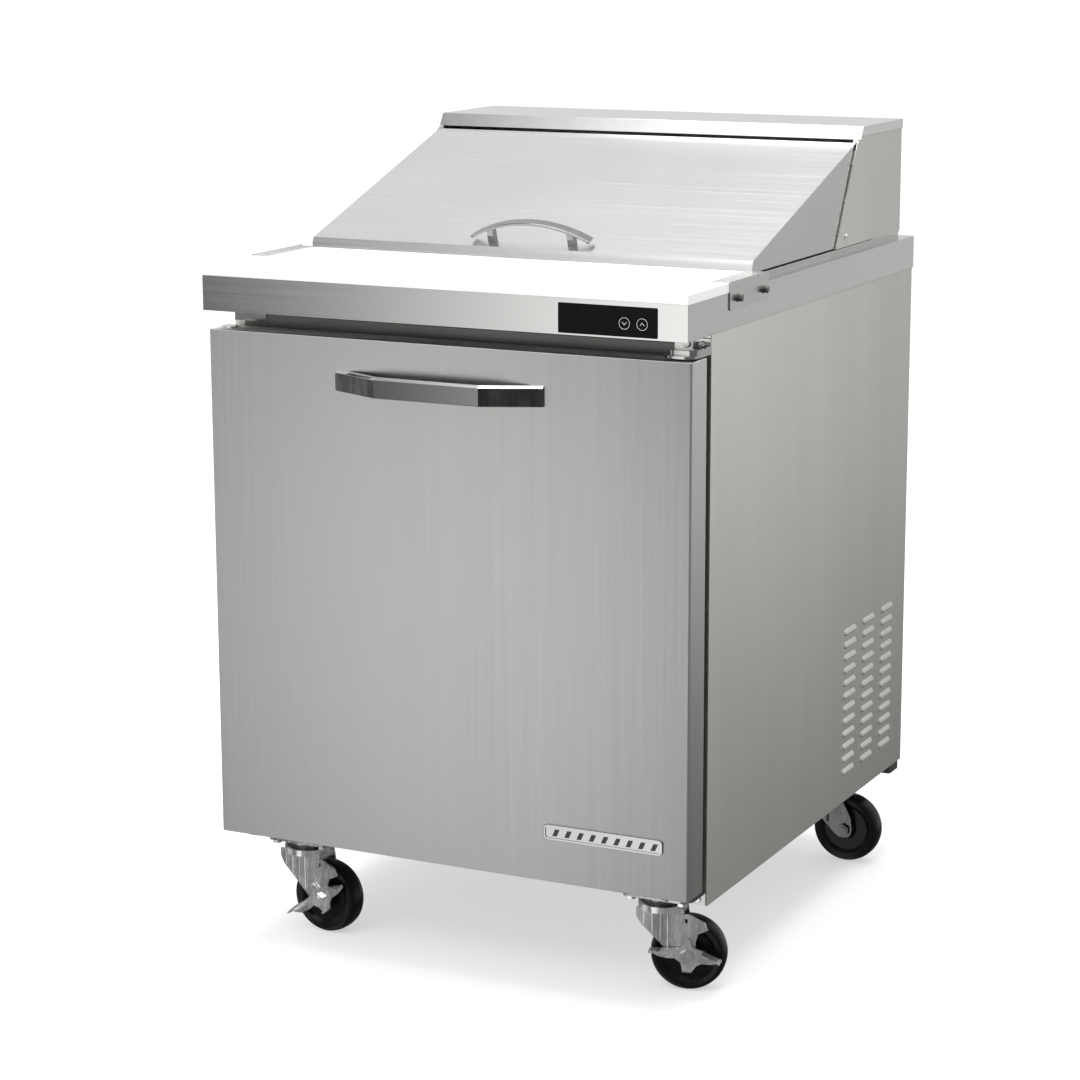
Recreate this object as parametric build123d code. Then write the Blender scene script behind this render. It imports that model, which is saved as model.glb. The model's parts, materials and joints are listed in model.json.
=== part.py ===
from build123d import *
import math
import os

# One-door refrigerated sandwich prep table on casters.
# Millimetres, +Z up, front faces -Y.  While modelling, y = 0 is the front face of the apron.
# The exported frame has its origin on the floor, at the centre of the footprint.

# ---- driving dimensions: the whole table ----
HALF_WIDTH = 350.0  # counter and door
DEPTH = 828.0  # apron front to rear skirt
HANDLE_FRONT = -24.0  # foremost face of the door handle
COUNTER_TOP = 928.0
SKIRT_BOTTOM = 881.5
CURB_TOP = 935.0
HOOD_TOP = 1098.7
SHEET = 1.2  # stainless sheet thickness
BODY_HALF = 348.5  # outer face of the side panels
BODY_BOTTOM = 132.0
BODY_FRONT = 77.0
BODY_BACK = 826.0
DOOR_FRONT = 13.0
DOOR_BACK = 59.0  # rear edge of the stainless door pan
DOOR_TOP = 855.0
DOOR_BOTTOM = 157.0
HINGE_X = 333.0  # door hinge axis
HINGE_Y = 40.0
HINGE_PIN_R = 5.0
RUNNING_GAP = 0.06  # radial clearance of pins in their bores

# ---- driving dimensions: cabinet ----
FLANGE = 15.0  # in-turned edges of the side panels
LOUVER_COLUMNS = (595.0, 670.5, 747.5)
LOUVER_ROWS = 12
LOUVER_FIRST_Z = 178.0
LOUVER_PITCH = 18.9
LOUVER_LENGTH = 52.0
LOUVER_HEIGHT = 8.6
LOUVER_RISE = 3.2
FRAME_PLATE = 3.8
RAIL_BOTTOM = 868.0
RAIL_TOP = 880.0
CORNER_INNER = 299.0  # inner edge of the corner plates on the frame
CORNER_LOW = 859.0  # lower edge of the upper corner plates
CORNER_SCREW_X = (316.0, 336.0)
CORNER_SCREW_Z = (873.0, 143.0)
CAVITY_HALF = 304.0
CAVITY_FLOOR = 186.0
CAVITY_TOP = 815.0
STEP_Y = 495.0  # rear wall of the cavity in front of the machine space
STEP_Z = 455.0  # floor of the cavity above the machine space
CAVITY_BACK = 770.0
MACHINE_FRONT = 552.0
MACHINE_TOP = 402.0
GRILLE_Y = 808.0
GRILLE_SCREWS = [(x, z) for x in (-322.0, 322.0) for z in (150.0, 385.0)]
GRILLE_COLUMNS = (-180.0, -60.0, 60.0, 180.0)
GRILLE_ROWS = 9
GLAND_X = -285.0
GLAND_Z = 215.0
GLAND_BORE_R = 4.5

# ---- driving dimensions: counter, board and control panel ----
CURB_HALF = 331.5
OPENING_HALF = 317.0  # pan opening in the counter
OPENING_FRONT = 272.0
OPENING_BACK = 616.0
BOARD_DEPTH = 250.0
BOARD_THICKNESS = 12.0
BRACKET_FRONT = 128.0
BRACKET_BACK = 258.0
BRACKET_BOTTOM = 905.0
BRACKET_WIDTH = 25.0
BRACKET_SHEET = 1.5
THUMB_SCREWS = [(153.0, 919.0), (239.0, 919.5)]
THUMB_HEAD_R = 4.5
THUMB_REACH = 7.2  # from the bracket to the end of the head
PANEL_X0 = 173.5
PANEL_X1 = 309.2
PANEL_Z0 = 884.0
PANEL_Z1 = 922.0
PANEL_PROUD = 0.9
KEY_R = 8.3
KEY_Z = 900.8
KEY_DOWN_X = 264.6
KEY_UP_X = 288.8
KEY_TRAVEL = 0.6

# ---- driving dimensions: hood and lid ----
LID_HALF = 330.0
LID_FRONT = 253.0
LID_LIP_TOP = 952.0
LID_NOSE = 3.4  # depth of the slanted face above the lid's front edge
LID_BOTTOM = 937.5
LID_REAR = 630.0
LID_REAR_TOP = 1077.0
LID_PIVOT = (634.5, 1077.5)  # y, z of the lid's hinge axis
LID_PIN_R = 2.2
LID_HANDLE_HALF = 89.5
LID_HANDLE_POST = 60.0
LID_HANDLE_RISE = 30.0
LID_HANDLE_Y = 277.0
HOOD_HALF = 333.0
HOOD_BACK = 812.0
HOOD_LOW = CURB_TOP + 1.3
HOOD_SIDE_TOP = HOOD_TOP - SHEET - 0.2
HOOD_SIDE = [
    (552.0, HOOD_LOW),
    (629.0, 1077.0),
    (640.6, 1080.2),
    (651.2, HOOD_SIDE_TOP),
    (HOOD_BACK, HOOD_SIDE_TOP),
    (HOOD_BACK, HOOD_LOW),
]
HOOD_SCREW = (590.0, 950.0)
COVER_FLANGE = 13.5

# ---- driving dimensions: food pans and shelves ----
PAN_PITCH_X = 161.0
PAN_PITCH_Y = 176.0
PAN_FIRST_Y = 356.0
PAN_RIM_TOP = 930.0
PAN_DEPTH = 100.0
SHELF_HEIGHTS = (330.0, 560.0)
SHELF_HALF = 293.0
SHELF_Y = (104.0, 480.0)

# ---- driving dimensions: door ----
DOOR_CORNER_R = 3.5
BUSH_R = 9.0
BUSH_HEIGHT = 20.0
LINER_BACK = 66.0
LINER_SHEET = 2.5
LINER_RAISED = 88.0
HANDLE_X = -4.0
HANDLE_Z = (785.5, 812.5)
HANDLE_FOOT = 4.0  # height of the handle's ends on the door
BADGE_X = (145.0, 315.0)
BADGE_Z = (215.0, 236.0)
BADGE_RIBS = 9
HINGE_PLATE_X = (303.0, 349.0)
HINGE_PLATE_GAP = 2.2  # between the door and the bracket
HINGE_SCREWS = [(318.0, 869.0), (338.0, 869.0)]

# ---- driving dimensions: refrigeration ----
FAN_HUB_R = 14.0
FAN_SHAFT_R = 3.0
EVAP_FAN = (0.0, 660.0, 610.0)
EVAP_FAN_R = 62.0
COND_FAN = (160.0, 690.0, 255.0)
COND_FAN_R = 82.0
MACHINE_FLOOR = BODY_BOTTOM + 3.0

# ---- driving dimensions: casters ----
CASTER_X = 272.0
CASTER_FRONT_Y = 112.0
CASTER_REAR_Y = 716.0
CASTER_ANGLES = {"front_right": 15.0, "front_left": -5.0, "rear_right": 0.0, "rear_left": 5.0}
PRESSED_ANGLE = 38.0  # the front left brake is on
CROWN_Z = 112.5  # middle of the fork crown
WHEEL_R = 50.8
WHEEL_HALF = 16.0
TRAIL = 35.0
AXLE_R = 6.0
PLATE_X = 46.0
PLATE_Y = 32.0
LEG_INNER = 18.4
LEG_OUTER = 20.9
LEVER_INNER = 23.4
LEVER_OUTER = 25.9

FOOTPRINT_CENTRE = (HANDLE_FRONT + DEPTH) / 2
CASTERS = {
    "front_right": (CASTER_X, CASTER_FRONT_Y),
    "front_left": (-CASTER_X, CASTER_FRONT_Y),
    "rear_right": (CASTER_X, CASTER_REAR_Y),
    "rear_left": (-CASTER_X, CASTER_REAR_Y),
}


# ---- helpers ----
def block(x0, x1, y0, y1, z0, z1):
    """Box between two corners."""
    centre = Pos((x0 + x1) / 2, (y0 + y1) / 2, (z0 + z1) / 2)
    return centre * Box(x1 - x0, y1 - y0, z1 - z0)


def rod(start, end, radius):
    """Round bar between two points."""
    line = Vector(end) - Vector(start)
    base = Plane(origin=start, z_dir=line)
    return base * Cylinder(radius, line.length, align=(Align.CENTER, Align.CENTER, Align.MIN))


def hexagon(start, end, across):
    """Hexagonal bar between two points."""
    line = Vector(end) - Vector(start)
    face = Plane(origin=start, z_dir=line) * RegularPolygon(across / 2, 6, major_radius=False)
    return extrude(face, amount=line.length, dir=line)


def slab_yz(points, x0, x1):
    """Plate with an outline in y and z, from x0 to x1."""
    outline = Polyline(*[(x0, y, z) for y, z in points], close=True)
    return extrude(make_face(outline), amount=x1 - x0, dir=(1, 0, 0))


def slab_xz(points, y0, y1):
    """Plate with an outline in x and z, from y0 to y1."""
    outline = Polyline(*[(x, y0, z) for x, z in points], close=True)
    return extrude(make_face(outline), amount=y1 - y0, dir=(0, 1, 0))


def slab_xy(points, z0, z1):
    """Plate with an outline in x and y, from z0 to z1."""
    outline = Polyline(*[(x, y, z0) for x, y in points], close=True)
    return extrude(make_face(outline), amount=z1 - z0, dir=(0, 0, 1))


def other_side(shape):
    """Mirror image on the other side of x = 0."""
    return mirror(shape, about=Plane.YZ)


def export(node, *shapes):
    """Write one node, moved so that the footprint's centre is the origin."""
    solids = [Pos(0, -FOOTPRINT_CENTRE, 0) * solid for shape in shapes for solid in shape.solids()]
    shape = solids[0] if len(solids) == 1 else Compound(solids)
    export_step(shape, f"parts/{node}.step")


# ---- cabinet ----
def louver(y, z):
    """Pressed scoop standing out of the right side panel, open along its lower edge."""
    radius = LOUVER_HEIGHT
    straight = LOUVER_LENGTH / 2 - radius
    bar = rod((0, -straight, 0), (0, straight, 0), radius)
    ends = Pos(0, -straight, 0) * Sphere(radius) + Pos(0, straight, 0) * Sphere(radius)
    hood = bar + ends
    reach = radius - LOUVER_RISE
    shell = hood & block(reach, radius, -LOUVER_LENGTH, LOUVER_LENGTH, -1.2, radius)
    return Pos(BODY_HALF - reach, y, z - 2.0) * shell


def side_panel():
    """Right side panel: sheet with in-turned flanges and three columns of louvers."""
    top = COUNTER_TOP - 3.0
    edge = BODY_HALF - FLANGE
    low = BODY_BOTTOM
    sheet = block(BODY_HALF - SHEET, BODY_HALF, BODY_FRONT, BODY_BACK, low, top)
    front = block(edge, BODY_HALF, BODY_FRONT, BODY_FRONT + SHEET, low, top)
    back = block(edge, BODY_HALF, BODY_BACK - SHEET, BODY_BACK, low, top)
    bottom = block(edge, BODY_HALF, BODY_FRONT, BODY_BACK, low, low + SHEET)
    panel = sheet + front + back + bottom
    rows = [LOUVER_FIRST_Z + row * LOUVER_PITCH for row in range(LOUVER_ROWS)]
    places = [(y, z) for y in LOUVER_COLUMNS for z in rows]
    slots = [block(BODY_HALF - 5, BODY_HALF + 5, y - 19, y + 19, z - 5.6, z - 3.2) for y, z in places]
    panel = panel - slots
    return panel + [louver(y, z) for y, z in places]


def base_pan():
    """Galvanised floor of the cabinet, with turned-up edges."""
    half = BODY_HALF - SHEET - 0.4
    low = BODY_BOTTOM + SHEET
    floor = block(-half, half, BODY_FRONT + 4, BODY_BACK - 3, low, low + 1.5)
    lip = block(-half, half, BODY_FRONT + 4, BODY_FRONT + 5.5, low, low + 5.5)
    pan = floor + lip
    for x, y in CASTERS.values():
        for dx, dy in bolt_places():
            pan -= rod((x + dx, y + dy, BODY_BOTTOM - 5), (x + dx, y + dy, low + 10), 4.3)
    return pan


def front_frame():
    """Steel face frame round the door opening, with a rail behind the apron."""
    half = BODY_HALF - FLANGE - 0.2
    top = COUNTER_TOP - 4.0
    plate = block(-half, half, BODY_FRONT, BODY_FRONT + FRAME_PLATE, BODY_BOTTOM + 2.0, top)
    hole = block(-CAVITY_HALF, CAVITY_HALF, BODY_FRONT - 1, BODY_FRONT + 5, CAVITY_FLOOR, CAVITY_TOP)
    profile = [
        (BODY_FRONT, RAIL_BOTTOM),
        (BODY_FRONT, RAIL_TOP),
        (BODY_FRONT - 12, RAIL_TOP),
        (BODY_FRONT - 12, RAIL_TOP - 1.5),
    ]
    frame = plate - hole + slab_yz(profile, -CORNER_INNER + 1, CORNER_INNER - 1)
    z = RAIL_BOTTOM + 4.5
    for x in (CORNER_INNER - 30, CORNER_INNER - 52):
        for side in (-1, 1):
            frame -= rod((side * x, BODY_FRONT - 15, z), (side * x, BODY_FRONT + 3, z), 4.0)
    return frame


def corner_plates():
    """Bright reinforcing plates at the frame's four corners."""
    y0 = BODY_FRONT - 1.6
    y1 = BODY_FRONT - 0.1
    upper = block(CORNER_INNER, BODY_HALF - 0.5, y0, y1, CORNER_LOW, SKIRT_BOTTOM + 20)
    lower = block(CORNER_INNER, BODY_HALF - 0.5, y0, y1, BODY_BOTTOM + 2, DOOR_BOTTOM - 4)
    places = [(x, z) for x in CORNER_SCREW_X for z in CORNER_SCREW_Z]
    holes = [rod((x, y0 - 1, z), (x, BODY_FRONT, z), 2.6) for x, z in places]
    upper = upper - holes
    lower = lower - holes
    return upper, lower, other_side(upper), other_side(lower)


def cavity():
    """Inside space: storage, the step over the machine space and the pan rail."""
    front = BODY_FRONT - 5
    lower = block(-CAVITY_HALF, CAVITY_HALF, front, STEP_Y, CAVITY_FLOOR, CAVITY_TOP)
    upper = block(-CAVITY_HALF, CAVITY_HALF, front, CAVITY_BACK, STEP_Z, CAVITY_TOP)
    half = OPENING_HALF + 1.5
    pans = block(-half, half, OPENING_FRONT - 1, OPENING_BACK + 1, CAVITY_TOP - 1, COUNTER_TOP + 5)
    return lower + upper + pans


def liner_outer():
    """Outer faces of the liner: the cavity grown by one sheet thickness."""
    t = SHEET
    half = CAVITY_HALF + t
    front = BODY_FRONT + 3.9
    lower = block(-half, half, front, STEP_Y + t, CAVITY_FLOOR - t, CAVITY_TOP + t)
    upper = block(-half, half, front, CAVITY_BACK + t, STEP_Z - t, CAVITY_TOP + t)
    wide = OPENING_HALF + 1.5 + t
    rail = (OPENING_FRONT - 1 - t, OPENING_BACK + 1 + t)
    pans = block(-wide, wide, *rail, CAVITY_TOP, COUNTER_TOP - t - 0.2)
    return lower + upper + pans


def cabinet_insulation():
    """Foamed-in insulation between the liner and the outer panels."""
    half = BODY_HALF - SHEET - 0.4
    low = BODY_BOTTOM + 9
    top = COUNTER_TOP - SHEET - 0.4
    body = block(-half, half, BODY_FRONT + 6, MACHINE_FRONT, low, top)
    rear = block(-half, half, MACHINE_FRONT - 1, BODY_BACK - 3, MACHINE_TOP, top)
    return body + rear - liner_outer() - cavity()


def back_panel():
    """Upper rear panel, behind the insulation."""
    half = BODY_HALF - FLANGE - 0.2
    return block(-half, half, BODY_BACK - 2.6, BODY_BACK - 1.4, MACHINE_TOP + 2, COUNTER_TOP - 4)


def rear_grille():
    """Removable slotted grille, set in behind the machine space."""
    half = BODY_HALF - FLANGE - 0.8
    plate = block(-half, half, GRILLE_Y, GRILLE_Y + SHEET, BODY_BOTTOM + 4, MACHINE_TOP - 1)
    slots = []
    for column in GRILLE_COLUMNS:
        for row in range(GRILLE_ROWS):
            z = GLAND_Z + row * 19.0
            slots.append(block(column - 48, column + 48, GRILLE_Y - 1, GRILLE_Y + 3, z, z + 7))
    gland = rod((GLAND_X, GRILLE_Y - 1, GLAND_Z), (GLAND_X, GRILLE_Y + 3, GLAND_Z), 8.1)
    screws = [rod((x, GRILLE_Y - 1, z), (x, GRILLE_Y + 3, z), 2.3) for x, z in GRILLE_SCREWS]
    return plate - slots - gland - screws


def cord_gland():
    """Strain-relief gland for the supply cord, in the rear grille."""
    front = rod((GLAND_X, GRILLE_Y - 8, GLAND_Z), (GLAND_X, GRILLE_Y - 0.1, GLAND_Z), 11.0)
    neck = rod((GLAND_X, GRILLE_Y - 1, GLAND_Z), (GLAND_X, GRILLE_Y + 2, GLAND_Z), 8.0)
    outside = (GLAND_X, GRILLE_Y + SHEET + 0.1, GLAND_Z)
    rear = hexagon(outside, (GLAND_X, GRILLE_Y + 9, GLAND_Z), 20.0)
    dome = rod((GLAND_X, GRILLE_Y + 9, GLAND_Z), (GLAND_X, GRILLE_Y + 16, GLAND_Z), 8.5)
    bore = rod((GLAND_X, GRILLE_Y - 9, GLAND_Z), (GLAND_X, GRILLE_Y + 17, GLAND_Z), GLAND_BORE_R)
    return front + neck + rear + dome - bore


def countertop():
    """Stainless counter: top sheet, apron, skirts, curb and the pan opening."""
    t = SHEET
    outer = block(-HALF_WIDTH, HALF_WIDTH, 0, DEPTH, SKIRT_BOTTOM, COUNTER_TOP)
    inside = HALF_WIDTH - t
    inner = block(-inside, inside, t, DEPTH - t, SKIRT_BOTTOM - 1, COUNTER_TOP - t)
    shell = outer - inner
    return_lip = block(-inside, inside, t, 14, SKIRT_BOTTOM, SKIRT_BOTTOM + t)
    curb_y = (LID_FRONT + 1.5, HOOD_BACK - 0.5)
    curb = block(-CURB_HALF, CURB_HALF, *curb_y, COUNTER_TOP - 0.5, CURB_TOP)
    ledge_half = OPENING_HALF + 5.5
    ledge_y = (OPENING_FRONT - 5, OPENING_BACK + 5)
    rebate = block(-ledge_half, ledge_half, *ledge_y, COUNTER_TOP, CURB_TOP + 1)
    rear_half = CURB_HALF - t
    rear_y = (OPENING_BACK + 12, HOOD_BACK - 2)
    rear_top = block(-rear_half, rear_half, *rear_y, COUNTER_TOP, CURB_TOP - t)
    opening_y = (OPENING_FRONT, OPENING_BACK)
    opening = block(-OPENING_HALF, OPENING_HALF, *opening_y, COUNTER_TOP - 5, CURB_TOP + 1)
    top = shell + return_lip + (curb - rebate - rear_top) - opening
    panel_hole = block(PANEL_X0 + 3, PANEL_X1 - 3, -1, t + 1, PANEL_Z0 + 3, PANEL_Z1 - 3)
    top -= panel_hole
    for y, z in THUMB_SCREWS:
        top -= rod((-HALF_WIDTH - 5, y, z), (HALF_WIDTH + 5, y, z), 2.6)
    return top


def cutting_board():
    """Plastic board across the front of the counter."""
    top = COUNTER_TOP + BOARD_THICKNESS
    board = block(-HALF_WIDTH, HALF_WIDTH, 0, BOARD_DEPTH, COUNTER_TOP + 0.1, top)
    return fillet(board.edges().filter_by(Axis.Z), 2.0)


def board_bracket():
    """Right-hand angle bracket that holds the board down."""
    t = BRACKET_SHEET
    top = COUNTER_TOP + BOARD_THICKNESS + t
    x1 = HALF_WIDTH + 0.1 + t
    wall = block(x1 - t, x1, BRACKET_FRONT, BRACKET_BACK, BRACKET_BOTTOM, top)
    wall = fillet(wall.edges().filter_by(Axis.X).sort_by(Axis.Z)[:2], 4.0)
    flange = block(x1 - BRACKET_WIDTH, x1, BRACKET_FRONT, BOARD_DEPTH - 3, top - t + 0.1, top)
    holes = [rod((x1 - 5, y, z), (x1 + 5, y, z), 2.6) for y, z in THUMB_SCREWS]
    return wall + flange - holes


def thumb_screw(y, z):
    """Right-hand knurled thumb screw through the bracket and skirt."""
    face = HALF_WIDTH + 0.1 + BRACKET_SHEET
    end = face + THUMB_REACH
    washer = rod((face + 0.05, y, z), (face + 1.0, y, z), THUMB_HEAD_R + 0.8)
    head = rod((face + 0.8, y, z), (end, y, z), THUMB_HEAD_R)
    head = chamfer(head.edges().filter_by(GeomType.CIRCLE).sort_by(Axis.X)[-1:], 0.6)
    grooves = []
    count = 14
    for i in range(count):
        angle = math.radians(i * 360 / count)
        cy = y + (THUMB_HEAD_R + 0.2) * math.cos(angle)
        cz = z + (THUMB_HEAD_R + 0.2) * math.sin(angle)
        grooves.append(rod((face + 1.6, cy, cz), (end + 1, cy, cz), 0.55))
    slot = block(end - 1, end + 1, y - 6, y + 6, z - 0.6, z + 0.6)
    shank = rod((HALF_WIDTH - SHEET + 0.1, y, z), (face + 1, y, z), 2.5)
    return washer + (head - grooves - slot) + shank


# ---- control panel ----
def control_panel():
    """Gloss black bezel with a shallow box behind it."""
    face = block(PANEL_X0, PANEL_X1, -PANEL_PROUD, -0.05, PANEL_Z0, PANEL_Z1)
    face = fillet(face.edges().filter_by(Axis.Y), 1.6)
    box_outer = block(PANEL_X0 + 3.3, PANEL_X1 - 3.3, -0.5, 11.0, PANEL_Z0 + 3.3, PANEL_Z1 - 3.3)
    box_inner = block(PANEL_X0 + 4.8, PANEL_X1 - 4.8, 1.6, 12.0, PANEL_Z0 + 4.8, PANEL_Z1 - 4.8)
    keys = [rod((x, -3, KEY_Z), (x, 5, KEY_Z), KEY_R + 0.25) for x in (KEY_DOWN_X, KEY_UP_X)]
    return face + box_outer - box_inner - keys


def key(x):
    """Round key cap with a stem that reaches the switch on the board."""
    cap = rod((x, -PANEL_PROUD - 0.35, KEY_Z), (x, 1.2, KEY_Z), KEY_R)
    stem = rod((x, 1.0, KEY_Z), (x, 4.0, KEY_Z), 2.0)
    return cap + stem


def control_board():
    """Circuit board with a display block and two tact switches."""
    board = block(PANEL_X0 + 5.2, PANEL_X1 - 5.2, 8.0, 9.6, PANEL_Z0 + 5.2, PANEL_Z1 - 5.2)
    display = block(PANEL_X0 + 22, PANEL_X0 + 64, 3.0, 8.1, 893.0, 913.0)
    switch = block(-3, 3, 4.0 + KEY_TRAVEL + 0.2, 8.1, KEY_Z - 3, KEY_Z + 3)
    switches = [Pos(x, 0, 0) * switch for x in (KEY_DOWN_X, KEY_UP_X)]
    return board + display + switches


# ---- hood and lid ----
def hood_housing():
    """Fixed hood: two sides with a front flange, and the back."""
    t = SHEET
    side = slab_yz(HOOD_SIDE, HOOD_HALF - t, HOOD_HALF)
    strip = [(552.5, HOOD_LOW), (624.0, 1066.9), (625.4, 1066.9), (553.9, HOOD_LOW)]
    flange = slab_yz(strip, HOOD_HALF - 8, HOOD_HALF)
    tabs = []
    for y, z in ((612.6, 1047.0), (586.1, 998.0)):
        tab = [(y + 2, z), (y + 5.3, z + 6), (y + 2.2, z + 7), (y - 1.2, z + 1)]
        tabs.append(slab_yz(tab, HOOD_HALF - 2.4, HOOD_HALF))
    side = side + flange + tabs
    side -= rod((HOOD_HALF - 5, *HOOD_SCREW), (HOOD_HALF + 5, *HOOD_SCREW), 2.2)
    back = block(-HOOD_HALF, HOOD_HALF, HOOD_BACK - t, HOOD_BACK, HOOD_LOW, HOOD_SIDE_TOP)
    seat = CURB_TOP + 0.2
    tie = block(-HOOD_HALF + 0.6, HOOD_HALF - 0.6, 700, HOOD_BACK - 0.6, seat, seat + 2 * t)
    return side + other_side(side) + back + tie


def hood_top_cover():
    """Bent cover: flat top, slanted front lip and side flanges."""
    t = SHEET
    lip = (638.7, 1081.0)
    nose = (650.0, HOOD_TOP)
    back = HOOD_BACK + t + 0.1
    outline = [
        lip,
        nose,
        (back, HOOD_TOP),
        (back, HOOD_TOP - COVER_FLANGE),
        (back - t, HOOD_TOP - COVER_FLANGE),
        (back - t, HOOD_TOP - t),
        (nose[0] + 0.65, HOOD_TOP - t),
        (lip[0] + 1.0, lip[1] - 0.65),
    ]
    half = HOOD_HALF + t + 0.1
    sheet = slab_yz(outline, -half, half)
    low = HOOD_TOP - COVER_FLANGE
    edge = [lip, nose, (back, HOOD_TOP), (back, low), (641.4, low)]
    flange = slab_yz(edge, HOOD_HALF + 0.1, half)
    return sheet + flange + other_side(flange)


def lid_height(y):
    """Height of the lid's outer surface at y."""
    slope = (LID_REAR_TOP - LID_LIP_TOP) / (LID_REAR - LID_FRONT)
    return LID_LIP_TOP + slope * (y - LID_FRONT)


def lid_shell():
    """Sloping stainless lid with triangular sides and hinge ears."""
    t = SHEET
    nose = LID_FRONT + LID_NOSE
    bend = LID_LIP_TOP - 5.5
    side = [
        (LID_FRONT, LID_BOTTOM),
        (LID_FRONT, bend),
        (nose, lid_height(nose)),
        (LID_REAR, LID_REAR_TOP),
        (623.5, 1073.5),
        (549.5, LID_BOTTOM),
    ]
    hollow = [
        (LID_FRONT + t, LID_BOTTOM - 5),
        (LID_FRONT + t, bend - 0.5),
        (nose + 0.9, lid_height(nose + 0.9) - t * 1.06),
        (LID_REAR + 10, lid_height(LID_REAR + 10) - t * 1.06),
        (LID_REAR + 10, LID_BOTTOM - 5),
    ]
    shell = slab_yz(side, -LID_HALF, LID_HALF) - slab_yz(hollow, -LID_HALF + t, LID_HALF - t)
    y, z = LID_PIVOT
    arm = [
        (y - 34, z - 13.2),
        (y - 33, z - 18),
        (y + 1.0, z - 3.9),
        (y - 1.0, z + 3.2),
        (y - 6, z - 2.6),
    ]
    ear = slab_yz(arm, LID_HALF - t - 3, LID_HALF - t + 0.2)
    ear += rod((LID_HALF - t - 3, y, z), (LID_HALF, y, z), 4.0)
    ear -= rod((LID_HALF - 10, y, z), (LID_HALF + 5, y, z), LID_PIN_R + RUNNING_GAP)
    return shell + ear + other_side(ear)


def lid_liner():
    """Insulated inner panel under the sloping sheet."""
    half = LID_HALF - SHEET - 6
    front = LID_FRONT + 14
    rear = LID_REAR - 34
    gap = SHEET * 1.06 + 0.1
    thick = 15.0
    points = [
        (front, lid_height(front) - gap),
        (rear, lid_height(rear) - gap),
        (rear + 2, lid_height(rear) - gap - thick + 3),
        (rear - 4, lid_height(rear - 4) - gap - thick),
        (front + 4, lid_height(front + 4) - gap - thick),
    ]
    return slab_yz(points, -half, half)


def lid_hinge_pin():
    """Right-hand pivot pin on a lug welded inside the hood's side."""
    y, z = LID_PIVOT
    outline = [
        (y - 2.9, z - 1.1),
        (y, z - 3.5),
        (y + 8.5, z - 13.5),
        (y + 15.5, z - 9.5),
        (y + 6.0, z + 1.6),
        (y + 2.0, z + 2.8),
        (y - 1.5, z + 2.6),
    ]
    side = HOOD_HALF - SHEET - 0.05
    lug = slab_yz(outline, LID_HALF + 0.3, side)
    return lug + rod((LID_HALF - SHEET - 4, y, z), (side, y, z), LID_PIN_R)


def lid_handle():
    """Arched band on two posts, standing on the sloping lid."""
    tip_rise = 7.0
    sagitta = LID_HANDLE_RISE - tip_rise
    radius = (LID_HANDLE_HALF**2 + sagitta**2) / (2 * sagitta)
    centre = LID_HANDLE_RISE - radius
    thick = 3.6
    width = 15.0
    angle = math.degrees(math.asin(LID_HANDLE_HALF / radius))
    outer = CenterArc((0, centre), radius, 90 - angle, 2 * angle)
    inner = CenterArc((0, centre), radius - thick, 90 - angle, 2 * angle)
    right = Line(outer @ 0, inner @ 0)
    left = Line(outer @ 1, inner @ 1)
    band = extrude(make_face([outer, right, inner, left]), amount=width)
    band = Pos(0, 0, -width / 2) * band
    foot_top = centre + math.sqrt((radius - thick / 2) ** 2 - LID_HANDLE_POST**2)
    handle = band
    for side in (-1, 1):
        post = Pos(side * LID_HANDLE_POST, foot_top / 2 + 0.05, 0) * Box(9, foot_top - 0.1, 11)
        handle += post
    handle = fillet(handle.edges().filter_by(GeomType.CIRCLE), 0.8)
    y = LID_HANDLE_Y
    slope = math.degrees(math.atan2(lid_height(y + 100) - lid_height(y), 100))
    # The handle is drawn with x across, y away from the lid and z down the slope.
    return Pos(0, y, lid_height(y) + 0.1) * Rot(slope, 0, 0) * Rot(90, 0, 0) * handle


# ---- food pans ----
def pan_places():
    """Centres of the eight pans."""
    columns = [PAN_PITCH_X * (i - 1.5) for i in range(4)]
    rows = [PAN_FIRST_Y, PAN_FIRST_Y + PAN_PITCH_Y]
    return [(x, y) for y in rows for x in columns]


def tapered_box(half_x, half_y, z_top, z_bottom, taper, radius):
    """Round-cornered box that narrows towards the bottom."""
    top = Plane(origin=(0, 0, z_top)) * RectangleRounded(2 * half_x, 2 * half_y, radius)
    low = Plane(origin=(0, 0, z_bottom)) * RectangleRounded(
        2 * (half_x - taper), 2 * (half_y - taper), radius
    )
    return loft([top, low])


def food_pan():
    """Sixth-size pan with a flat rim."""
    bottom = PAN_RIM_TOP - PAN_DEPTH
    outer = tapered_box(73.5, 81.0, PAN_RIM_TOP - 1, bottom, 6.0, 16.0)
    inner = tapered_box(72.5, 80.0, PAN_RIM_TOP + 1, bottom + 1.0, 6.0, 15.0)
    rim = Plane(origin=(0, 0, PAN_RIM_TOP - 1)) * RectangleRounded(160.0, 174.0, 9.0)
    return outer + extrude(rim, amount=1.0) - inner


def pan_divider_bars():
    """Adapter bars between the pans: one across, six front to back."""
    top = PAN_RIM_TOP - 1.1
    low = top - 6
    middle = PAN_FIRST_Y + PAN_PITCH_Y / 2
    bars = [block(-OPENING_HALF + 0.3, OPENING_HALF - 0.3, middle - 4, middle + 4, low, top)]
    for x in (-PAN_PITCH_X, 0.0, PAN_PITCH_X):
        bars.append(block(x - 4, x + 4, OPENING_FRONT + 0.3, middle - 4.1, low, top))
        bars.append(block(x - 4, x + 4, middle + 4.1, OPENING_BACK - 0.3, low, top))
    return bars


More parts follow.
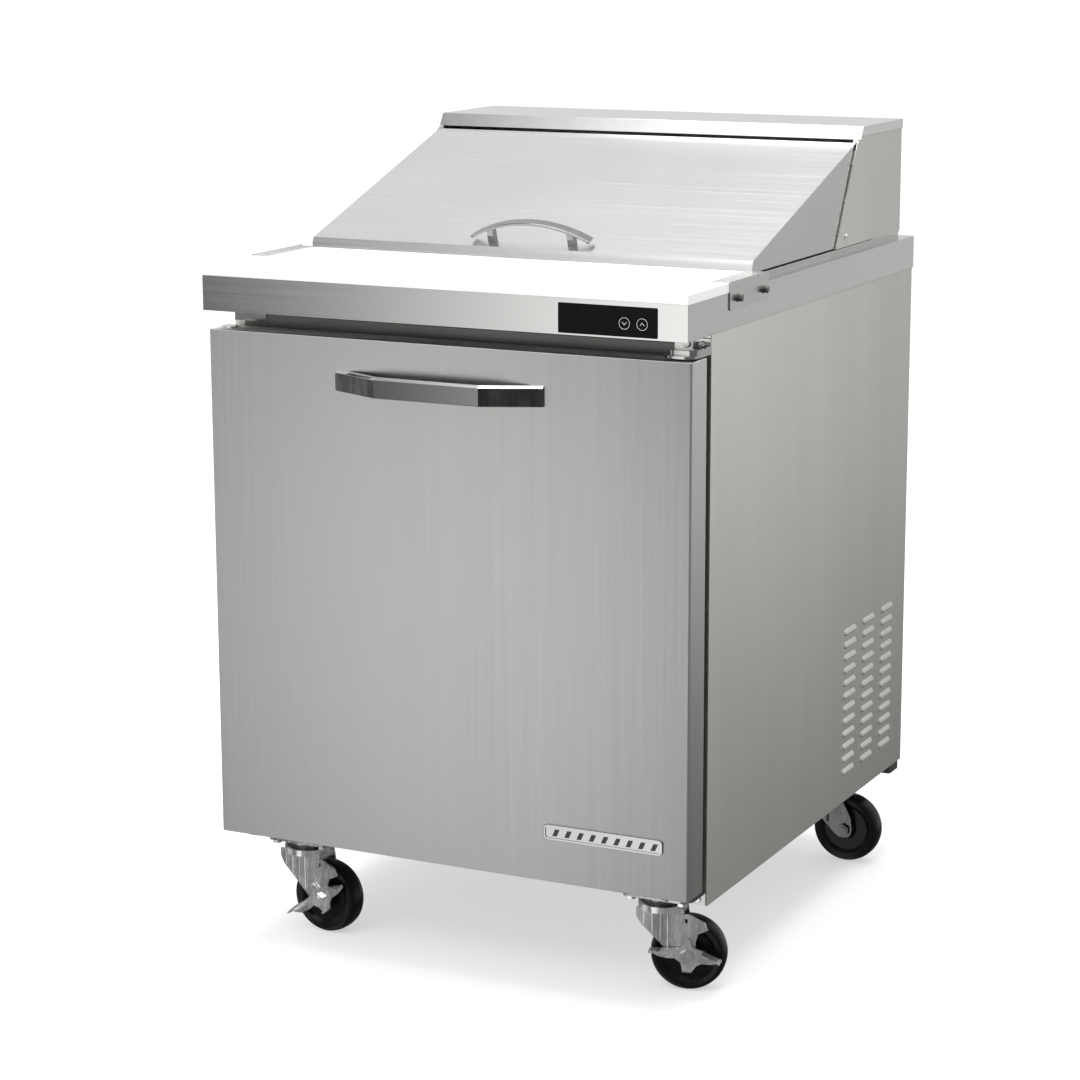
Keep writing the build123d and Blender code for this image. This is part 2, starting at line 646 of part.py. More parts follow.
# ---- door ----
def door_skin():
    """Outer stainless door pan, open at the back."""
    t = SHEET
    outer = block(-HALF_WIDTH, HALF_WIDTH, DOOR_FRONT, DOOR_BACK, DOOR_BOTTOM, DOOR_TOP)
    outer = fillet(outer.edges().filter_by(Axis.Z).group_by(Axis.Y)[0], DOOR_CORNER_R)
    outer = fillet(outer.edges().filter_by(Axis.X).group_by(Axis.Y)[0], 1.2)
    inside = HALF_WIDTH - t
    inner = block(-inside, inside, DOOR_FRONT + t, DOOR_BACK + 1, DOOR_BOTTOM + t, DOOR_TOP - t)
    inner = fillet(inner.edges().filter_by(Axis.Z).group_by(Axis.Y)[0], DOOR_CORNER_R - t)
    skin = outer - inner
    for x in (-HINGE_X, HINGE_X):
        skin -= rod((x, HINGE_Y, DOOR_BOTTOM - 5), (x, HINGE_Y, DOOR_TOP + 5), BUSH_R + 0.02)
    return skin


def door_insulation():
    """Foam core of the door."""
    t = SHEET
    inside = HALF_WIDTH - t
    core = block(-inside, inside, DOOR_FRONT + t, DOOR_BACK, DOOR_BOTTOM + t, DOOR_TOP - t)
    core = fillet(core.edges().filter_by(Axis.Z).group_by(Axis.Y)[0], DOOR_CORNER_R - t)
    for x in (-HINGE_X, HINGE_X):
        for z in (DOOR_BOTTOM, DOOR_TOP - BUSH_HEIGHT - 1):
            core -= rod((x, HINGE_Y, z), (x, HINGE_Y, z + BUSH_HEIGHT + 1), BUSH_R + 0.02)
    return core + door_liner_filling()


def door_hinge_bushes():
    """Plastic bushes in the door's hinge side, top and bottom."""
    bushes = []
    for z in (DOOR_BOTTOM - 0.6, DOOR_TOP - BUSH_HEIGHT + 0.6):
        end = z + BUSH_HEIGHT
        bush = rod((HINGE_X, HINGE_Y, z), (HINGE_X, HINGE_Y, end), BUSH_R)
        bore_r = HINGE_PIN_R + RUNNING_GAP
        bushes.append(bush - rod((HINGE_X, HINGE_Y, z - 1), (HINGE_X, HINGE_Y, end + 1), bore_r))
    return bushes


def door_plugs():
    """Caps on the unused hinge holes of the left side, top and bottom."""
    caps = []
    for z0, z1, face in ((DOOR_TOP, DOOR_TOP + 1.8, -4), (DOOR_BOTTOM - 1.8, DOOR_BOTTOM, 4)):
        cap = rod((-HINGE_X, HINGE_Y, z0), (-HINGE_X, HINGE_Y, z1), 11.0)
        inner = z0 if face < 0 else z1
        stem = rod((-HINGE_X, HINGE_Y, inner), (-HINGE_X, HINGE_Y, inner + face), BUSH_R - 0.2)
        caps.append(cap + stem)
    return caps


def door_liner():
    """Dark inner panel with a raised centre that reaches into the cavity."""
    panel = block(-346, 346, DOOR_BACK + 0.1, LINER_BACK, DOOR_BOTTOM + 4, DOOR_TOP - 4)
    raised = block(-291, 291, LINER_BACK - 1, LINER_RAISED, 200, 801)
    raised = chamfer(raised.edges().group_by(Axis.Y)[-1], 10.0)
    return panel + raised - door_liner_filling()


def door_liner_filling():
    """Space behind the door's inner panel, filled with foam."""
    t = LINER_SHEET
    flat = block(-346 + t, 346 - t, DOOR_BACK, LINER_BACK - t, DOOR_BOTTOM + 4 + t, DOOR_TOP - 4 - t)
    raised = block(-278, 278, LINER_BACK - t - 1, LINER_RAISED - t, 213, 788)
    return flat + raised


def door_gasket():
    """Magnetic gasket: a soft ring between the door and the frame."""
    outer = block(-328, 328, LINER_BACK + 0.1, BODY_FRONT - 0.5, 164, 839)
    inner = block(-306.5, 306.5, LINER_BACK - 1, BODY_FRONT + 1, 184, 818)
    groove = block(-322, 322, LINER_BACK + 4, LINER_BACK + 6.5, 170, 833)
    core = block(-320, 320, LINER_BACK + 3, LINER_BACK + 8, 172, 831)
    return outer - inner - (groove - core)


def door_handle():
    """Faceted bar handle with its ends on the door."""
    back = DOOR_FRONT
    front = HANDLE_FRONT
    shoulder = back - HANDLE_FOOT
    outline = [
        (-151, back),
        (-151, shoulder),
        (-76, front),
        (76, front),
        (151, shoulder),
        (151, back),
        (131, back),
        (131, back - 2.5),
        (73, front + 7.5),
        (-73, front + 7.5),
        (-131, back - 2.5),
        (-131, back),
    ]
    bar = slab_xy(outline, *HANDLE_Z)
    outer_y = (front, (front + shoulder) / 2)

    def outer_edges(z):
        """Long edges of the three front facets at one height."""
        level = bar.edges().filter_by(lambda edge: abs(edge.center().Z - z) < 0.1 and edge.length > 60)
        return level.filter_by(lambda edge: min(abs(edge.center().Y - y) for y in outer_y) < 0.5)

    low_edges = outer_edges(HANDLE_Z[0])
    bar = chamfer(outer_edges(HANDLE_Z[1]), 3.0)
    bar = chamfer(bar.edges().filter_by(lambda edge: any(edge.is_same(low) for low in low_edges)), 1.6)
    return Pos(HANDLE_X, 0, 0) * bar


def door_badge():
    """Raised plate on the door: a rounded border round a row of slanted ribs."""
    front = DOOR_FRONT - 2.6
    plate = block(*BADGE_X, front, DOOR_FRONT - 0.05, *BADGE_Z)
    plate = fillet(plate.edges().filter_by(Axis.Y), 6.0)
    plate = fillet(plate.edges().group_by(Axis.Y)[0], 0.8)
    x0, x1 = BADGE_X[0] + 3, BADGE_X[1] - 3
    z0, z1 = BADGE_Z[0] + 3, BADGE_Z[1] - 3
    field = block(x0, x1, front - 1, front + 1.2, z0, z1)
    field = fillet(field.edges().filter_by(Axis.Y), 3.5)
    badge = plate - field
    lean = 4.0
    pitch = (x1 - x0 - 24) / (BADGE_RIBS - 1)
    for i in range(BADGE_RIBS):
        x = x0 + 10 + i * pitch
        rib = [(x, z0 + 3), (x + 6, z0 + 3), (x + 6 + lean, z1 - 3), (x + lean, z1 - 3)]
        badge += slab_xz(rib, front + 0.2, front + 1.5)
    return badge


def hinge_bracket(rimmed):
    """Top hinge bracket: riser on the frame, rounded plate over the door, and the pin."""
    x0, x1 = HINGE_PLATE_X
    z0 = DOOR_TOP + HINGE_PLATE_GAP
    plate = block(x0, x1, 22, BODY_FRONT - 2, z0, z0 + 3.2)
    plate = fillet(plate.edges().filter_by(Axis.Z).sort_by(Axis.Y)[:2], 16.0)
    riser = block(x0, x1, BODY_FRONT - 5.2, BODY_FRONT - 1.8, z0, 877.0)
    pin = rod((HINGE_X, HINGE_Y, z0 + 1), (HINGE_X, HINGE_Y, DOOR_TOP - 15), HINGE_PIN_R)
    bracket = plate + riser + pin
    if rimmed:
        outer = block(x0 + 3, x1, 30, BODY_FRONT - 2, z0 + 3, z0 + 9.5)
        outer = fillet(outer.edges().filter_by(Axis.Z).sort_by(Axis.Y)[:2], 12.0)
        inner = block(x0, x1 - 3.6, 33.6, BODY_FRONT + 2, z0, z0 + 12)
        inner = fillet(inner.edges().filter_by(Axis.Z).sort_by(Axis.Y)[:2], 9.0)
        boss = rod((HINGE_X, HINGE_Y, z0 + 1), (HINGE_X, HINGE_Y, z0 + 8), 7.5)
        bracket += (outer - inner) + boss
    for x, z in HINGE_SCREWS:
        bracket -= rod((x, BODY_FRONT - 8, z), (x, BODY_FRONT, z), 3.1)
    return bracket


def hinge_brackets():
    """Rimmed top bracket, and a plain one turned over under the door."""
    middle = Plane(origin=(0, 0, (DOOR_TOP + DOOR_BOTTOM) / 2), z_dir=(0, 0, 1))
    bottom = mirror(hinge_bracket(False), about=middle)
    # Under the door the riser stops at the cabinet's bottom edge.
    return hinge_bracket(True), bottom & block(0, 400, 0, 100, BODY_BOTTOM + 2.5, 400)


def screw(start, direction, head_r, shank_r, shank):
    """Pan-head screw with a cross recess, standing on start with its shank behind."""
    along = Vector(direction)
    base = Vector(start)
    head = rod(base, base + along * 2.4, head_r)
    rims = head.edges().filter_by(GeomType.CIRCLE)
    head = fillet(rims.sort_by(lambda edge: (edge.center() - base).length)[-1:], 1.2)
    body = rod(base - along * shank, base + along * 0.5, shank_r)
    level = Plane(origin=base + along * 1.5, z_dir=along)
    depth = (Align.CENTER, Align.CENTER, Align.MIN)
    cross = Box(head_r * 1.2, 0.9, 2.0, align=depth) + Box(0.9, head_r * 1.2, 2.0, align=depth)
    return head + body - level * cross


def cabinet_screws():
    """Screws of the hinges, corner plates, hood and grille."""
    screws = []
    for x, z in HINGE_SCREWS:
        for height in (z, DOOR_TOP + DOOR_BOTTOM - z):
            screws.append(screw((x, BODY_FRONT - 5.3, height), (0, -1, 0), 4.6, 2.5, 3.0))
    for x in CORNER_SCREW_X:
        for z in CORNER_SCREW_Z:
            screws.append(screw((-x, BODY_FRONT - 1.7, z), (0, -1, 0), 4.2, 2.2, 0.6))
    for x, z in GRILLE_SCREWS:
        screws.append(screw((x, GRILLE_Y + SHEET + 0.05, z), (0, 1, 0), 4.0, 2.0, 8.0))
    for side in (-1, 1):
        start = (side * (HOOD_HALF + 0.05), *HOOD_SCREW)
        screws.append(screw(start, (side, 0, 0), 4.4, 2.0, 5.0))
    return screws


# ---- shelves ----
def wire_shelf(z):
    """Coated wire shelf: a frame, cross wires and two stiffeners."""
    y0, y1 = SHELF_Y
    r = 3.0
    edges = [
        ((-SHELF_HALF, y0, z), (SHELF_HALF, y0, z)),
        ((-SHELF_HALF, y1, z), (SHELF_HALF, y1, z)),
        ((-SHELF_HALF, y0, z), (-SHELF_HALF, y1, z)),
        ((SHELF_HALF, y0, z), (SHELF_HALF, y1, z)),
    ]
    shelf = rod(*edges[0], r)
    for start, end in edges[1:]:
        shelf += rod(start, end, r)
    for x in (-SHELF_HALF, SHELF_HALF):
        for y in (y0, y1):
            shelf += Pos(x, y, z) * Sphere(r)
    count = 20
    pitch = 2 * SHELF_HALF / (count + 1)
    wires = []
    for i in range(count):
        x = -SHELF_HALF + (i + 1) * pitch
        wires.append(rod((x, y0, z + 3.0), (x, y1, z + 3.0), 1.8))
    for y in (y0 + 125, y1 - 125):
        wires.append(rod((-SHELF_HALF, y, z), (SHELF_HALF, y, z), 2.4))
    return shelf + wires


def shelf_clips():
    """Small ledge clips on the liner walls, four for each shelf."""
    clips = []
    for z in SHELF_HEIGHTS:
        for y in (SHELF_Y[0] + 40, SHELF_Y[1] - 40):
            wall = CAVITY_HALF - 0.1
            foot = block(wall - 14, wall, y - 9, y + 9, z - 5.5, z - 3.2)
            plate = block(wall - 2, wall, y - 9, y + 9, z - 16, z - 3.2)
            clips += [foot + plate, other_side(foot + plate)]
    return clips


# ---- refrigeration ----
def fan_blades(radius, depth, count):
    """Axial fan about local Z: hub with tilted blades and a bore for the shaft."""
    hub = Cylinder(FAN_HUB_R, depth)
    blade = Pos(radius / 2 + 4, 0, 0) * Rot(28, 0, 0) * Box(radius - 8, radius * 0.55, 1.8)
    ring = Cylinder(radius, depth * 1.6) - Cylinder(FAN_HUB_R - 3, depth * 2)
    blade = blade & ring
    fan = hub
    for i in range(count):
        fan += Rot(0, 0, i * 360 / count) * blade
    return fan - Cylinder(FAN_SHAFT_R + RUNNING_GAP, depth * 2)


def evaporator_fan():
    """Fan that moves air over the evaporator, turning about Y."""
    return Pos(*EVAP_FAN) * Rot(90, 0, 0) * fan_blades(EVAP_FAN_R, 16.0, 5)


def condenser_fan():
    """Fan that draws air through the condenser, turning about X."""
    return Pos(*COND_FAN) * Rot(0, 90, 0) * fan_blades(COND_FAN_R, 20.0, 5)


def fan_motor(radius, length):
    """Motor along local Z: a can with its shaft."""
    can = Pos(0, 0, -length / 2) * Cylinder(radius, length)
    can = fillet(can.edges().filter_by(GeomType.CIRCLE), 2.0)
    shaft = Pos(0, 0, 8) * Cylinder(FAN_SHAFT_R, 34)
    return can + shaft


def fan_motors():
    """The evaporator's motor behind its fan, and the condenser's inboard of its fan."""
    evaporator = Pos(EVAP_FAN[0], EVAP_FAN[1] + 12, EVAP_FAN[2]) * Rot(90, 0, 0) * fan_motor(20, 24)
    bracket = block(-95, 95, 695.5, 697.5, EVAP_FAN[2] - 6, EVAP_FAN[2] + 6)
    for side in (-1, 1):
        bracket += block(side * 94 - 1, side * 94 + 1, 644, 697.5, EVAP_FAN[2] - 6, EVAP_FAN[2] + 6)
    condenser = Pos(COND_FAN[0] - 14, *COND_FAN[1:]) * Rot(0, 90, 0) * fan_motor(26, 40)
    leg = block(COND_FAN[0] - 50, COND_FAN[0] - 20, 680, 700, MACHINE_FLOOR, COND_FAN[2] - 20)
    foot = block(COND_FAN[0] - 60, COND_FAN[0] - 14, 665, 715, MACHINE_FLOOR - 0.1, MACHINE_FLOOR + 2)
    return evaporator + bracket, condenser + leg + foot


def evaporator_shroud():
    """Sheet box in front of the evaporator, with the fan opening."""
    x = 190.0
    z0 = 505.0
    z1 = 790.0
    outer = block(-x, x, 640, CAVITY_BACK - 0.2, z0, z1)
    inner = block(-x + 1.2, x - 1.2, 641.2, CAVITY_BACK + 1, z0 + 1.2, z1 - 1.2)
    shell = outer - inner
    shell -= rod((EVAP_FAN[0], 630, EVAP_FAN[2]), (EVAP_FAN[0], 650, EVAP_FAN[2]), EVAP_FAN_R + 4)
    guard = [
        rod((EVAP_FAN[0], 638, EVAP_FAN[2]), (EVAP_FAN[0], 640.5, EVAP_FAN[2]), r + 1.2)
        - rod((EVAP_FAN[0], 637, EVAP_FAN[2]), (EVAP_FAN[0], 642, EVAP_FAN[2]), r - 1.2)
        for r in (20.0, 36.0, 52.0, 68.0)
    ]
    bars = [
        block(-69, 69, 639, 640.8, EVAP_FAN[2] - 1.2, EVAP_FAN[2] + 1.2),
        block(-1.2, 1.2, 639, 640.8, EVAP_FAN[2] - 69, EVAP_FAN[2] + 69),
    ]
    slots = [block(-150, 150, 700, 760, z1 - 3, z1 + 3)]
    return shell + guard + bars - slots


def finned_block(length, height, depth, pitch):
    """Coil block: two end plates and fins along x, with tube rows through them."""
    fins = []
    count = int(length / pitch)
    for i in range(count + 1):
        x = -length / 2 + i * length / count
        fins.append(Pos(x, 0, 0) * Box(1.2, depth, height))
    tubes = []
    rows = max(2, int(height / 40))
    for row in range(rows):
        z = -height / 2 + (row + 0.5) * height / rows
        for y in (-depth / 4, depth / 4):
            tubes.append(rod((-length / 2 - 6, y, z), (length / 2 + 6, y, z), 4.0))
    coil = fins[0]
    return coil + fins[1:] + tubes


def evaporator_coil():
    """Fin-and-tube evaporator on the cavity's rear wall."""
    return Pos(0, 733, 648) * finned_block(340, 250, 60, 8.5)


def condenser_coil():
    """Fin-and-tube condenser facing the right-hand louvers."""
    return Pos(265, COND_FAN[1], COND_FAN[2] + 4) * Rot(0, 0, 90) * finned_block(200, 210, 60, 8.0)


def condenser_shroud():
    """Sheet duct from the condenser to its fan."""
    y, z = COND_FAN[1:]
    outer = block(178, 236, y - 104, y + 104, z - 104, z + 112)
    inner = block(180, 240, y - 102.5, y + 102.5, z - 102.5, z + 110.5)
    plate = outer - inner
    return plate - rod((170, y, z), (190, y, z), COND_FAN_R + 5)


def compressor():
    """Hermetic compressor: welded can on a foot plate with rubber mounts."""
    x, y = -60.0, 690.0
    low = MACHINE_FLOOR
    can = Pos(x, y, low + 93) * Cylinder(72, 150)
    can = fillet(can.edges().filter_by(GeomType.CIRCLE), 30.0)
    seam = Pos(x, y, low + 92) * Cylinder(75, 8)
    plate = block(x - 95, x + 95, y - 70, y + 70, low + 14, low + 19)
    feet = []
    for dx in (-80, 80):
        for dy in (-55, 55):
            feet.append(rod((x + dx, y + dy, low), (x + dx, y + dy, low + 14), 11))
    terminal = block(x - 100, x - 60, y - 22, y + 22, low + 70, low + 115)
    return can + seam + plate + feet + terminal


def tube(points, bend, radius):
    """Round copper tube along a bent path."""
    path = FilletPolyline(*points, radius=bend)
    section = Plane(origin=path @ 0, z_dir=path % 0) * Circle(radius)
    return sweep(section, path=path)


def refrigerant_lines():
    """Discharge line, liquid line with its filter drier, and suction line."""
    low = MACHINE_FLOOR + 70
    high = MACHINE_FLOOR + 215
    discharge = tube([(10, 640, low), (40, 640, low), (40, 575, low), (250, 575, low)], 18, 3.2)
    drier = rod((-40, 590, high), (60, 590, high), 10)
    supply = [(62, 590, high), (120, 590, high), (120, 570, high + 25), (240, 570, high + 25)]
    liquid = tube(supply, 12, 3.2)
    rise = [(-150, 640, low + 50), (-190, 640, low + 50), (-190, 640, low + 170), (-190, 700, low + 192)]
    suction = tube(rise, 20, 4.8)
    return discharge, drier, liquid, suction


def drain_pan():
    """Condensate pan beside the compressor."""
    low = MACHINE_FLOOR
    outer = block(-320, -175, 600, 790, low, low + 42)
    inner = block(-318.5, -176.5, 601.5, 788.5, low + 1.5, low + 45)
    return outer - inner


# ---- casters ----
def bolt_places():
    """Bolt positions on a caster plate, from the kingpin."""
    return [(dx, dy) for dx in (-36.5, 36.5) for dy in (-22.5, 22.5)]


def caster_plate(x, y):
    """Top plate with its raceway and kingpin."""
    top = BODY_BOTTOM - 0.1
    plate = block(x - PLATE_X, x + PLATE_X, y - PLATE_Y, y + PLATE_Y, top - 3.6, top)
    plate = fillet(plate.edges().filter_by(Axis.Z), 6.0)
    low = CROWN_Z + 2.2
    race = Pos(x, y, (low + top) / 2 - 1.5) * Cone(25.0, 31.0, top - low - 3.0)
    cup = Pos(x, y, low + 2.0) * Cylinder(25.0, 4.0)
    pin = rod((x, y, CROWN_Z - 7.8), (x, y, top - 3), AXLE_R)
    nut = hexagon((x, y, CROWN_Z - 8.2), (x, y, CROWN_Z - 2.4), 17.0)
    body = plate + race + cup + pin + nut
    for dx, dy in bolt_places():
        body -= rod((x + dx, y + dy, top - 5), (x + dx, y + dy, top + 1), 4.3)
    return body


def caster_plates():
    """Plates of the four casters."""
    return [caster_plate(x, y) for x, y in CASTERS.values()]


def caster_bolts():
    """Bolts that hold the caster plates to the base."""
    bolts = []
    for x, y in CASTERS.values():
        for dx, dy in bolt_places():
            head_top = BODY_BOTTOM - 3.8
            head = hexagon((x + dx, y + dy, head_top - 4.6), (x + dx, y + dy, head_top), 12.0)
            shank = rod((x + dx, y + dy, head_top - 1), (x + dx, y + dy, BODY_BOTTOM + 2.7), 4.0)
            bolts.append(head + shank)
    return bolts


def fork_leg():
    """One fork leg: a plate with pressed ribs, on the side of local -Y."""
    outline = [
        (-33, CROWN_Z + 1.7),
        (-33, 103),
        (-28, 93),
        (21, 44),
        (28, 39.5),
        (35, 38.5),
        (42, 39.5),
        (46.5, 44.5),
        (48, 52),
        (46, 70),
        (40, 82),
        (33, 94),
        (30, CROWN_Z + 1.7),
    ]
    leg = slab_xz(outline, -LEG_OUTER, -LEG_INNER)
    for x, low in ((-22.0, 92.0), (-11.0, 81.0), (0.0, 70.0), (9.5, 61.0)):
        rib = rod((x, -LEG_OUTER, low), (x, -LEG_OUTER, CROWN_Z - 2), 2.0)
        leg += rib & block(-60, 60, -LEG_OUTER - 3, -LEG_INNER - 1, 40, CROWN_Z)
    return leg


def fork_guard():
    """Upper wing of the leg that reaches over the tyre, with two slots."""
    outline = [
        (14, 72),
        (14, 104),
        (17, 108),
        (38, 108),
        (58, 98),
        (63, 88),
        (50, 82),
        (44, 62),
        (35, 60),
    ]
    wing = slab_xz(outline, -LEG_OUTER - 1.1, -LEG_INNER)
    slots = [block(x, x + 4.6, -30, -10, 96, 102) for x in (21.0, 31.0)]
    return wing - slots


def caster_fork(braked):
    """Swivel fork about its kingpin, with the axle bolt and its nut."""
    crown = Pos(0, 0, CROWN_Z) * Cylinder(33.0, 3.5)
    rim = Pos(0, 0, CROWN_Z + 4.0) * (Cylinder(33.0, 5.0) - Cylinder(29.8, 6.0))
    leg = fork_leg()
    if braked:
        leg += fork_guard()
    inner_leg = mirror(fork_leg(), about=Plane.XZ)
    fork = crown + rim + leg + inner_leg
    fork -= rod((0, 0, CROWN_Z - 10), (0, 0, CROWN_Z + 10), AXLE_R + RUNNING_GAP)
    fork -= rod((TRAIL, -40, WHEEL_R), (TRAIL, 40, WHEEL_R), AXLE_R + 0.02)
    end = -LEVER_OUTER - 6.5 if braked else -LEG_OUTER - 6.5
    seat = -LEVER_OUTER - 0.3 if braked else -LEG_OUTER
    axle = rod((TRAIL, end, WHEEL_R), (TRAIL, LEG_OUTER + 1, WHEEL_R), AXLE_R)
    head = hexagon((TRAIL, LEG_OUTER + 0.05, WHEEL_R), (TRAIL, LEG_OUTER + 5.5, WHEEL_R), 17.0)
    nut = hexagon((TRAIL, seat - 0.05, WHEEL_R), (TRAIL, seat - 5.2, WHEEL_R), 17.0)
    return fork, axle + head + nut


def wheel():
    """Wheel with a rounded tread, recessed sides and a hub."""
    profile = [
        (AXLE_R + RUNNING_GAP, -18.1),
        (13, -18.1),
        (14.5, -16.0),
        (17, -10.5),
        (33, -10.5),
        (38, -14.6),
        (44, -WHEEL_HALF),
        (47.2, -14.8),
        (49.6, -11.0),
        (WHEEL_R, -5.0),
    ]
    ring = profile + [(r, -z) for r, z in reversed(profile)]
    outline = make_face(Polyline(*[(r, 0, z) for r, z in ring], close=True))
    body = revolve(outline, axis=Axis.Z)
    return Pos(TRAIL, 0, WHEEL_R) * Rot(90, 0, 0) * body


def pedal(inner_x, outer_x, z_inner, z_outer):
    """Bent pedal with two grip ridges, standing out from the lever."""
    run = outer_x - inner_x
    points = [
        (inner_x, z_inner),
        (outer_x, z_outer),
        (outer_x, z_outer - 2.2),
        (inner_x, z_inner - 2.2),
    ]
    tread = slab_xz(points, -LEVER_OUTER - 15, -LEVER_OUTER + 1)
    for share in (0.35, 0.62, 0.86):
        x = inner_x + run * share
        z = z_inner + (z_outer - z_inner) * share
        tread += rod((x, -LEVER_OUTER - 13.5, z), (x, -LEVER_OUTER - 2, z), 0.9)
    return tread


def brake_lever():
    """Stamped rocker about the axle: a plate, two pedals, a lower tab and a finger."""
    cx = TRAIL
    cz = WHEEL_R
    outline = [
        (cx - 10, cz + 11.5),
        (cx - 24, cz + 11),
        (cx - 46, cz + 10),
        (cx - 50, cz + 6),
        (cx - 40, cz - 0.5),
        (cx - 26, cz - 3.2),
        (cx - 12, cz - 2.5),
        (cx - 8, cz - 8),
        (cx - 6, cz - 17.5),
        (cx + 8, cz - 18.5),
        (cx + 13, cz - 12),
        (cx + 20, cz - 8.5),
        (cx + 34, cz - 8.8),
        (cx + 46, cz - 5.5),
        (cx + 47, cz - 1.5),
        (cx + 30, cz + 3.5),
        (cx + 22, cz + 9.5),
        (cx + 14, cz + 11.5),
        (cx + 7, cz + 14.5),
        (cx + 5, cz + 24),
        (cx - 1, cz + 24),
        (cx - 3, cz + 14.5),
    ]
    plate = slab_xz(outline, -LEVER_OUTER, -LEVER_INNER)
    foot = block(cx - 5.5, cx + 7.5, -LEVER_OUTER - 4, -LEVER_INNER, cz - 19.8, cz - 17.4)
    hook = block(cx - 1, cx + 5, -LEVER_OUTER - 4, -LEVER_INNER, cz + 22.4, cz + 24)
    boss = rod((cx, -LEVER_OUTER + 0.2, cz), (cx, -LEVER_INNER, cz), 11.0)
    left = pedal(cx - 24, cx - 49, cz + 11, cz + 9.8)
    right = pedal(cx + 22, cx + 46, cz + 9.3, cz - 1.4)
    lever = plate + foot + hook + boss + left + right
    return lever - rod((cx, -60, cz), (cx, 0, cz), AXLE_R + RUNNING_GAP)


def pressed(lever):
    """Brake lever turned about the axle until its left pedal is down."""
    return Pos(TRAIL, 0, WHEEL_R) * Rot(0, -PRESSED_ANGLE, 0) * Pos(-TRAIL, 0, -WHEEL_R) * lever


def at_caster(name, shape):
    """Place a shape from a caster's own frame at its corner."""
    x, y = CASTERS[name]
    return Pos(x, y, 0) * Rot(0, 0, CASTER_ANGLES[name]) * shape


def rear_bumper():
    """Right-hand rubber block under the rear corner."""
    bumper = block(300, 346, 786, BODY_BACK - 1, 118, BODY_BOTTOM - 0.1)
    return fillet(bumper.edges().filter_by(Axis.Z), 5.0)


# ---- write every node ----
def main():
    os.makedirs("parts", exist_ok=True)
    right_panel = side_panel()
    export("right_side_panel", right_panel)
    export("left_side_panel", other_side(right_panel))
    export("base_pan", base_pan())
    export("front_frame", front_frame())
    export("inner_liner", liner_outer() - cavity())
    export("cabinet_insulation", cabinet_insulation())
    export("back_panel", back_panel())
    export("rear_grille", rear_grille())
    export("cord_gland", cord_gland())
    export("countertop", countertop())
    export("cutting_board", cutting_board())
    bracket = board_bracket()
    export("board_brackets", bracket, other_side(bracket))
    screws = [thumb_screw(y, z) for y, z in THUMB_SCREWS]
    export("thumb_screws", *screws, *[other_side(s) for s in screws])
    export("control_panel", control_panel())
    export("control_board", control_board())
    export("key_down", key(KEY_DOWN_X))
    export("key_up", key(KEY_UP_X))
    export("hood_housing", hood_housing())
    export("hood_top_cover", hood_top_cover())
    export("lid_shell", lid_shell())
    export("lid_liner", lid_liner())
    pin = lid_hinge_pin()
    export("lid_hinge_pins", pin, other_side(pin))
    export("lid_handle", lid_handle())
    pan = food_pan()
    export("food_pans", *[Pos(x, y, 0) * pan for x, y in pan_places()])
    export("pan_divider_bars", *pan_divider_bars())
    export("door_skin", door_skin())
    export("door_insulation", door_insulation())
    export("door_hinge_bushes", *door_hinge_bushes())
    export("door_plugs", *door_plugs())
    export("door_liner", door_liner())
    export("door_gasket", door_gasket())
    export("door_handle", door_handle())
    export("door_badge", door_badge())
    export("hinge_plates", *hinge_brackets(), *corner_plates())
    export("cabinet_screws", *cabinet_screws())
    export("wire_shelves", *[wire_shelf(z) for z in SHELF_HEIGHTS])
    export("shelf_clips", *shelf_clips())
    export("evaporator_coil", evaporator_coil())
    export("evaporator_shroud", evaporator_shroud())
    export("evaporator_fan", evaporator_fan())
    export("condenser_coil", condenser_coil())
    export("condenser_shroud", condenser_shroud())
    export("condenser_fan", condenser_fan())
    export("fan_motors", *fan_motors())
    export("compressor", compressor())
    export("refrigerant_lines", *refrigerant_lines())
    export("drain_pan", drain_pan())
    export("caster_plates", *caster_plates())
    export("caster_bolts", *caster_bolts())
    bumper = rear_bumper()
    export("rear_bumpers", bumper, other_side(bumper))
    for name in CASTERS:
        braked = name.startswith("front")
        fork, axle = caster_fork(braked)
        export(f"{name}_fork", at_caster(name, fork), at_caster(name, axle))
        export(f"{name}_wheel", at_caster(name, wheel()))
        if braked:
            lever = brake_lever()
            lever = pressed(lever) if name == "front_left" else lever
            export(f"{name}_brake", at_caster(name, lever))


main()
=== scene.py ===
import json
import math

import bmesh
import bpy
from mathutils import Matrix, Vector


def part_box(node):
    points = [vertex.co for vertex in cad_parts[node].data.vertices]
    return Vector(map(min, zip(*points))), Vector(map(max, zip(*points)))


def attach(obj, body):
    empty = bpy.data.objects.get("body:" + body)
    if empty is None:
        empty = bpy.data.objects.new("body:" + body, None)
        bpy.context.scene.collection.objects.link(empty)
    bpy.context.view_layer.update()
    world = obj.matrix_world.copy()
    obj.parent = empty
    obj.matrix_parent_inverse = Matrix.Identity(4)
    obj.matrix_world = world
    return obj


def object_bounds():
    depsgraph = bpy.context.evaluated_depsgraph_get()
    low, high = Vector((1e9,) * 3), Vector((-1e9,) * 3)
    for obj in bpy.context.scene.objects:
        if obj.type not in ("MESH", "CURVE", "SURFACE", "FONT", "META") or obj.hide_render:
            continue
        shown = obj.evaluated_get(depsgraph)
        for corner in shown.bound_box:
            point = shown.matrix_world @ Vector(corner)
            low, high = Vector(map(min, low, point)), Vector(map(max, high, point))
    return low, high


# Looks for a one-door refrigerated sandwich prep table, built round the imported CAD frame.
# Metres, +Z up, the door faces -Y, origin on the floor at the centre of the footprint.

